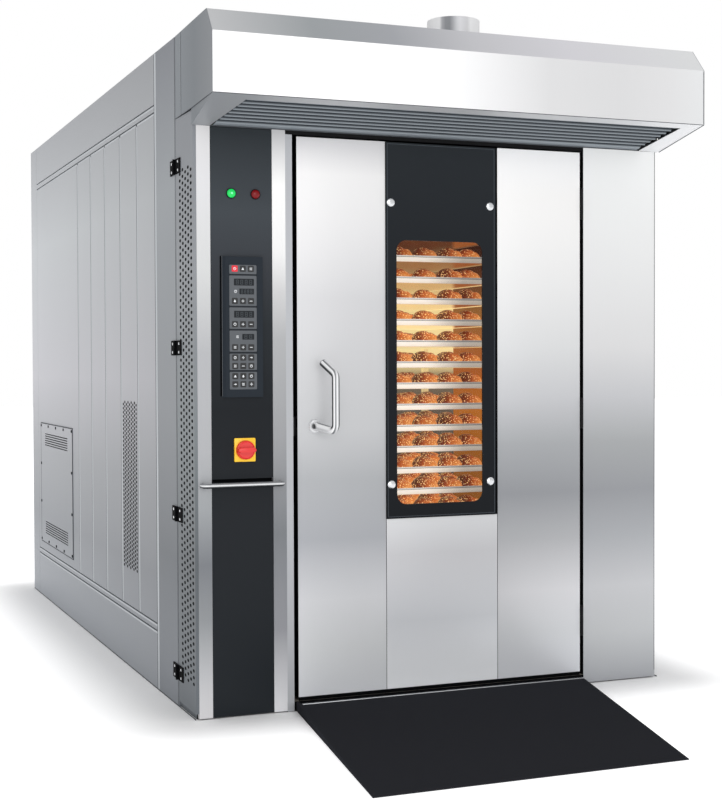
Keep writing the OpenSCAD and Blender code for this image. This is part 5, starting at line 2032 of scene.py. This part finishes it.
        if kind == "plus":
            bar(-5, 5, -1.1, 1.1)
            bar(-1.1, 1.1, -5, 5)
        elif kind == "minus":
            bar(-5, 5, -1.1, 1.1)
        elif kind == "ring":
            disc(5.2, 3.6)
            bar(-0.8, 0.8, 0, 4)
        elif kind == "triangle":
            corners = ((-5, -4), (5, -4), (0, 5))
            shape.prism([((x + a) * MM, (z + b) * MM) for a, b in corners], y)
        elif kind == "drop":
            angles = [math.radians(k) for k in range(-220, 41, 26)]
            belly = [
                ((x + 3.6 * math.cos(a)) * MM, (z - 1.4 + 3.6 * math.sin(a)) * MM)
                for a in angles
            ]
            shape.prism(belly + [(x * MM, (z + 5.5) * MM)], y)
        elif kind == "arrow":
            bar(-5, 1, -1, 1)
            corners = ((1, -4), (5.5, 0), (1, 4))
            shape.prism([((x + a) * MM, (z + b) * MM) for a, b in corners], y)
        else:
            for k in (-3.4, 0, 3.4):
                bar(-4.6, 4.6, k - 0.8, k + 0.8)

    @staticmethod
    def _digit(shape: Shape, x: float, z: float, wide: float, high: float, face: float) -> None:
        """Adds the seven unlit segments of a display place.

        Args:
            shape: where it goes.
            x: middle, across, in millimetres.
            z: middle, up, in millimetres.
            wide: width.
            high: height.
            face: depth of its face.
        """
        t = 1.3
        for z0 in (-high / 2, -t / 2, high / 2 - t):
            shape.box(
                ((x - wide / 2) * MM, depth(face), (z + z0) * MM),
                ((x + wide / 2) * MM, depth(face + 0.2), (z + z0 + t) * MM),
            )
        for x0 in (-wide / 2, wide / 2 - t):
            for z0, z1 in ((-high / 2 + 1.8, -1.4), (1.4, high / 2 - 1.8)):
                shape.box(
                    ((x + x0) * MM, depth(face), (z + z0) * MM),
                    ((x + x0 + t) * MM, depth(face + 0.2), (z + z1) * MM),
                )

    def build(self) -> None:
        """Builds the post's pieces."""
        self.lamps()
        self.main_switch()
        self.controller()


@dataclass(frozen=True)
class HoleField:
    """A staggered field of holes in the left side.

    Args:
        near: depth of the first column in millimetres.
        across: step between columns in millimetres.
        low: height of the lowest hole in metres.
        up: step between rows in metres.
        columns: number of columns.
        rows: number of rows.
    """

    near: float
    across: float
    low: float
    up: float
    columns: int
    rows: int


@dataclass(frozen=True)
class BodySizes:
    """Places on the oven's sides and sheets.

    Args:
        vents: the holes in the side's front panel.
        vents_top: height in metres above which no vent is made.
        holes: the service door's holes.
        boards: first, end and step of the side boards' joints, depths in millimetres.
        grooves: heights of the level grooves in metres.
        hinges: heights of the service door's hinges in millimetres.
        rim: the access cover's near and far depth in millimetres.
        rim_z: the access cover's lower and upper side in metres.
    """

    vents: HoleField = HoleField(near=884, across=29, low=0.417, up=0.0174, columns=9, rows=40)
    vents_top: float = 1.106
    holes: HoleField = HoleField(near=28, across=37, low=0.124, up=0.024, columns=5, rows=77)
    boards: tuple[int, int, int] = (849, 2074, 306)
    grooves: tuple[float, float, float, float] = (0.225, 0.253, 2.227, 2.255)
    hinges: tuple[int, int, int, int] = (129, 712, 1321, 1981)
    rim: tuple[float, float] = (2236, 3130)
    rim_z: tuple[float, float] = (0.300, 0.950)


class Body(Assembly):
    """The painted shade of the sides' holes, the painted shade and highlight lines of the
    folds, small screws, and the threshold.
    """

    sizes = BodySizes()

    @staticmethod
    def _staggered(field: HoleField) -> list[Vector]:
        """Places the holes of a field whose every other column is half a step higher.

        Args:
            field: its sizes.

        Returns:
            The holes' middles.
        """
        return [
            Vector(
                (
                    LEFT_X,
                    depth(field.near + column * field.across),
                    field.low + (row + 0.5 * (column % 2)) * field.up,
                )
            )
            for column in range(field.columns)
            for row in range(field.rows)
        ]

    def vent_strip(self) -> None:
        """Builds a staggered field of flat dark spots in the side's front panel: the painted
        shade of its vent holes.
        """
        places = [p for p in self._staggered(self.sizes.vents) if p.z < self.sizes.vents_top]
        made = self.scatter.place(
            "vent_holes", self._dot(0.0104, 0.0064), places, self.paint.get(BLACK_AND_SHADE)
        )
        self.keep(made, "body", "body_panel")

    @staticmethod
    def _dot(half_deep: float, half_high: float) -> Shape:
        """Builds a flat dark spot that faces the oven's left: the painted shade of one hole.

        Args:
            half_deep: half its size along the depth.
            half_high: half its height.

        Returns:
            The spot.
        """
        stretch = Matrix.Diagonal((1.0, half_deep, half_high, 1.0))
        turned = stretch @ Matrix.Rotation(-math.pi / 2, 4, "Y")
        return Shape("dot").lathe([(0, 0), (1, 0), (0.97, 0.0003), (0, 0.0003)], turned, 16)

    def perforations(self) -> None:
        """Builds flat dark spots over the service door's holes: the painted shade in their
        mouths.
        """
        places = self._staggered(self.sizes.holes)
        made = self.scatter.place(
            "hole_mouths", self._dot(0.0118, 0.0062), places, self.paint.get(BLACK_AND_SHADE)
        )
        self.keep(made, "service_door", "body_panel")

    def side_lines(self) -> None:
        """Builds the painted shade and painted highlight lines along the folds and the foot of
        both sides, and a painted shade line round the access cover.
        """
        for side, name in ((-1, "side_lines_left"), (1, "side_lines_right")):
            shape = Shape(name)
            inner, outer = side * 0.9549, side * 0.9554

            def strip(layer: int, mm: tuple[float, float], z: tuple[float, float]) -> None:
                """Adds one flat line.

                Args:
                    layer: 0 for a painted shade line, 1 for a painted highlight line.
                    mm: nearest and farthest depth in millimetres.
                    z: lower and upper end in metres.
                """
                shape.using(layer).box(
                    (min(inner, outer), depth(mm[0]), z[0]),
                    (max(inner, outer), depth(mm[1]), z[1]),
                )

            strip(0, (546, 553), (0.006, BODY_TOP))
            strip(1, (522, 545.5), (0.006, BODY_TOP))
            strip(0, (239, 244), (0.006, BODY_TOP))
            strip(0, (2, 3399), (0.0, 0.0045))
            for mm in range(*self.sizes.boards):
                strip(1, (mm - 17, mm - 1), (0.259, 2.227))
            for z in self.sizes.grooves:
                strip(1, (549, 3213), (z - 0.0075, z - 0.0005))
            self.add(shape, [GROOVE, FOLD_HIGHLIGHT], "body", "body_panel")
        # A thin dark frame round the access cover: painted shade along its edge.
        rim = Shape("cover_rim")
        x = LEFT_X - 0.0032
        (near, far), (low, high) = self.sizes.rim, self.sizes.rim_z
        for y0, y1, z0, z1 in (
            (near, far, low, low + 0.005), (near, far, high - 0.005, high),
            (near, near + 7, low, high), (far - 7, far, low, high),
        ):
            rim.box((x, depth(y0), z0), (x + 0.0005, depth(y1), z1))
        self.add(rim, [GROOVE], "body", "body_panel")

    def backing(self) -> None:
        """Builds the dark sheet behind the service door's holes: painted shade seen through
        them.
        """
        shape = Shape("perforation_backing")
        shape.box(
            (LEFT_X + 0.0083, depth(12), 0.110),
            (LEFT_X + 0.0091, depth(200), 2.000),
            bevel=0.0002,
        )
        self.add(shape, [HOLE], "service_door", "body_panel")

    def hinge_screws(self) -> None:
        """Builds the bright screws in the service door's hinge leaves."""
        profile = [(0, 0), (0.0052, 0), (0.0052, 0.0008), (0.004, 0.0018), (0, 0.002)]
        for name, side, body in (
            ("hinge_screws_door", -1, "service_door"),
            ("hinge_screws_post", 1, "body"),
        ):
            head = Shape("screw")
            head.lathe(profile, Matrix.Rotation(-math.pi / 2, 4, "Y"), 16)
            places = [
                Vector((LEFT_X - 0.004, depth(232 + side * 44), z * MM + dz * 0.0155))
                for z in self.sizes.hinges
                for dz in (-1, 1)
            ]
            made = self.scatter.place(name, head, places, self.paint.get(BRIGHT))
            self.keep(made, body, "plain_steel")

    def sill(self) -> None:
        """Builds the ramp's bright line, black painted shade in the gap under the door and on
        the ramp just in front of it, and the jamb's foot.
        """
        gap = Shape("door_gap")
        gap.box((-0.569, depth(1.5), 0.0364), (0.599, depth(4), 0.0462))
        gap.box((-0.570, depth(-32.5), 0.0325), (0.597, depth(-0.2), 0.0346))
        shape = Shape("ramp_sill")
        shape.box((-0.570, depth(-47), 0.0316), (0.597, depth(-33), 0.0340), bevel=0.0006)
        self.add(gap, [BLACK_AND_SHADE], "body", "plain_steel")
        foot = Shape("jamb_foot")
        foot.box((-0.6126, depth(-0.5), 0.001), (-0.5872, depth(-0.05), 0.0362))
        self.add(foot, [JAMB], "body", "front_steel")
        self.add(shape, [SILL], "body", "plain_steel")

    def build(self) -> None:
        """Builds the body's pieces."""
        self.vent_strip()
        self.perforations()
        self.side_lines()
        self.backing()
        self.hinge_screws()
        self.sill()


class Load(Assembly):
    """The baked goods in the trays."""

    @staticmethod
    def _bun() -> Shape:
        """Builds one bun round the origin; U runs from 0, the painted shaded side of the crust,
        to 1, its painted lit side and the pale crack.

        Returns:
            The bun.
        """
        bun = Shape("bun")
        steps, rings = 28, 9
        # The side of the bun towards this angle is painted lit, the far side painted shaded;
        # the pale crack sits on the lit side.
        lit = -0.9
        grid = []
        tones = {}
        for k in range(rings + 1):
            a = math.pi / 2 * k / rings
            r, h = (math.cos(a) ** 0.72 if k < rings else 0.0), math.sin(a)
            line = []
            for i in range(steps):
                t = math.tau * i / steps
                away = math.cos(t - lit)
                crack = math.exp(-(((r * away) - 0.42) ** 2) * 22)
                grown = 1 + 0.05 * math.cos(3 * t + 0.6) * r - 0.10 * crack
                point = (
                    0.060 * r * grown * math.cos(t),
                    0.066 * r * grown * math.sin(t),
                    0.067 * h * (1 - 0.16 * crack),
                )
                vert = bun.mesh.verts.new(point)
                # The tone is painted light and shade: lighter towards lit, lighter in the
                # crack, a little darker towards the top.
                tones[vert] = min(
                    1.0, max(0.0, 0.26 + 0.56 * r * away + 0.12 * crack - 0.10 * h)
                )
                line.append(vert)
                if r == 0:
                    break
            grid.append(line)
        for a, b in zip(grid, grid[1:]):
            for i in range(steps):
                j = (i + 1) % steps
                corners = [a[i], a[j], b[j % len(b)], b[i % len(b)]]
                bun.mesh.faces.new(list(dict.fromkeys(corners)))
        bun.mesh.faces.new(grid[0][::-1])
        spot = bun.mesh.loops.layers.uv.verify()
        for face in bun.mesh.faces:
            for loop in face.loops:
                loop[spot].uv = (tones[loop.vert], 0.5)
        return bun

    def buns(self) -> None:
        """Fills each tray with rows of glazed seeded buns."""
        for part, name in enumerate(("buns_low", "buns_middle", "buns_high")):
            bun = self._bun()
            places = []
            for level in range(part * TRAY_LEVELS // 3, (part + 1) * TRAY_LEVELS // 3):
                z = TRAY_LOW + TRAY_PITCH * level - TRAY_SINK
                for x in BUN_COLUMNS:
                    for mm in BUN_ROWS:
                        places.append(Vector((x, depth(mm), z)))
            made = self.scatter.place(
                name, bun, places, self.paint.get(BUN), turn=0.35, spread=0.08, seed=part + 3
            )
            for face in made.data.polygons:
                face.use_smooth = True
            self.keep(made, "rack", "tray_steel")

    def build(self) -> None:
        """Fills the trays."""
        self.buns()


# ------------------------------------------------------------------ studio


@dataclass(frozen=True)
class CameraSizes:
    """The camera that matches the photo.

    Args:
        place: position in the frame, in metres.
        yaw: turn to the right of +Y, in radians.
        pitch: tilt up, in radians.
        roll: roll, in radians.
        lens: focal length in millimetres for a 36 mm long side.
    """

    place: tuple[float, float, float] = (-2.348, -6.739, 1.254)
    yaw: float = 0.3822
    pitch: float = -0.0233
    roll: float = -0.0037
    lens: float = 66.45


class Studio:
    """A pale floor, a white backdrop, soft light and the camera."""

    def __init__(self) -> None:
        """Keeps the scene."""
        self.scene = bpy.context.scene

    def camera(self, sizes: CameraSizes) -> None:
        """Adds the camera.

        Args:
            sizes: where it stands and how it looks.
        """
        cy, sy = math.cos(sizes.yaw), math.sin(sizes.yaw)
        cp, sp = math.cos(sizes.pitch), math.sin(sizes.pitch)
        ahead = Vector((sy * cp, cy * cp, sp))
        right = Vector((cy, -sy, 0))
        up = right.cross(ahead)
        cr, sr = math.cos(sizes.roll), math.sin(sizes.roll)
        right, up = cr * right + sr * up, -sr * right + cr * up
        matrix = Matrix((right, up, -ahead)).transposed().to_4x4()
        matrix.translation = Vector(sizes.place)
        data = bpy.data.cameras.new("photo_camera")
        data.lens = sizes.lens
        data.sensor_width = 36
        data.clip_end = 100
        camera = bpy.data.objects.new("photo_camera", data)
        camera.matrix_world = matrix
        self.scene.collection.objects.link(camera)
        self.scene.camera = camera

    def floor(self) -> None:
        """Adds a wide pale floor that keeps the object's shadow, with painted shade round the
        oven's base.
        """
        data = bpy.data.meshes.new("studio_floor")
        size = 40.0
        rim = [(-size, -size, 0), (size, -size, 0), (size, size, 0), (-size, size, 0)]
        data.from_pydata(rim, [], [(0, 1, 2, 3)])
        floor = bpy.data.objects.new("studio_floor", data)
        floor.location.z = -0.0005
        self.scene.collection.objects.link(floor)
        mat = bpy.data.materials.new("studio_floor")
        mat.use_nodes = True
        tree = mat.node_tree
        surface = tree.nodes["Principled BSDF"]
        surface.inputs["Base Color"].default_value = (0.94, 0.94, 0.945, 1)
        surface.inputs["Roughness"].default_value = 0.9
        surface.inputs["Specular IOR Level"].default_value = 0.0
        surface.inputs["Emission Color"].default_value = (1, 1, 1, 1)
        # The floor's glow rises from nothing near the oven's footprint to 0.5 about 0.4 m away:
        # painted shade close to the base, on top of the real shadow, and white further out.
        place = tree.nodes.new("ShaderNodeTexCoord")
        away = add_node(tree, VECTOR_MATH, "ABSOLUTE")
        outside = add_node(tree, VECTOR_MATH, "SUBTRACT", {1: (RIGHT_X, -FRONT_Y, 0)})
        clear = add_node(tree, VECTOR_MATH, "MAXIMUM")
        reach = add_node(tree, VECTOR_MATH, "LENGTH")
        ends = {"From Min": 0.03, "From Max": 0.42, "To Min": 0.0, "To Max": 0.5}
        glow = add_node(tree, MAP_RANGE, values=ends)
        glow.interpolation_type = "SMOOTHSTEP"
        for source, target in (
            (place.outputs["Object"], away.inputs[0]),
            (away.outputs[0], outside.inputs[0]),
            (outside.outputs[0], clear.inputs[0]),
            (clear.outputs[0], reach.inputs[0]),
            (reach.outputs["Value"], glow.inputs["Value"]),
            (glow.outputs["Result"], surface.inputs["Emission Strength"]),
        ):
            tree.links.new(source, target)
        data.materials.append(mat)
        floor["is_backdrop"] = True

    def world(self) -> None:
        """Sets a plain white surround: full white to the camera, soft light to surfaces."""
        world = bpy.data.worlds.new("studio")
        self.scene.world = world
        world.use_nodes = True
        tree = world.node_tree
        tree.nodes.clear()
        out = tree.nodes.new("ShaderNodeOutputWorld")
        seen = tree.nodes.new("ShaderNodeBackground")
        lit = tree.nodes.new("ShaderNodeBackground")
        seen.inputs["Color"].default_value = (1, 1, 1, 1)
        lit.inputs["Color"].default_value = (1, 1, 1, 1)
        lit.inputs["Strength"].default_value = 0.8
        mix = tree.nodes.new("ShaderNodeMixShader")
        path = tree.nodes.new("ShaderNodeLightPath")
        tree.links.new(path.outputs["Is Camera Ray"], mix.inputs[0])
        tree.links.new(lit.outputs[0], mix.inputs[1])
        tree.links.new(seen.outputs[0], mix.inputs[2])
        tree.links.new(mix.outputs[0], out.inputs[0])

    def front_fill(self) -> None:
        """Adds a very soft light from the front, a little from the left and above."""
        data = bpy.data.lights.new("front_fill", "SUN")
        data.energy = 1.15
        data.angle = math.radians(50)
        lamp = bpy.data.objects.new("front_fill", data)
        lamp.rotation_euler = Vector((0.2, 1.0, -0.06)).to_track_quat("-Z", "Y").to_euler()
        self.scene.collection.objects.link(lamp)

    def build(self) -> None:
        """Sets everything up."""
        self.camera(CameraSizes())
        self.floor()
        self.world()
        self.front_fill()
        self.scene.view_settings.view_transform = "Standard"


def corners(box: tuple[Vector, Vector]) -> list[list[float]]:
    """Turns a pair of corners into plain lists.

    Args:
        box: lowest and highest corner.

    Returns:
        The same as lists of numbers.
    """
    return [list(box[0]), list(box[1])]


def main() -> list[list[float]]:
    """Loads the frame and builds the scene.

    Returns:
        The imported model's corners.
    """
    logging.basicConfig(level=logging.INFO, format="%(name)s: %(message)s")
    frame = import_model()
    start = corners(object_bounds())
    tools = (frame["nodes"], Paintbox(), Scatter())
    for part in (PackedNodes, Door, Trim, ControlPost, Body, Load):
        LOG.info("building %s", part.__name__)
        part(*tools).build()
    Studio().build()
    return start


if __name__ == "__main__":
    packed = main()
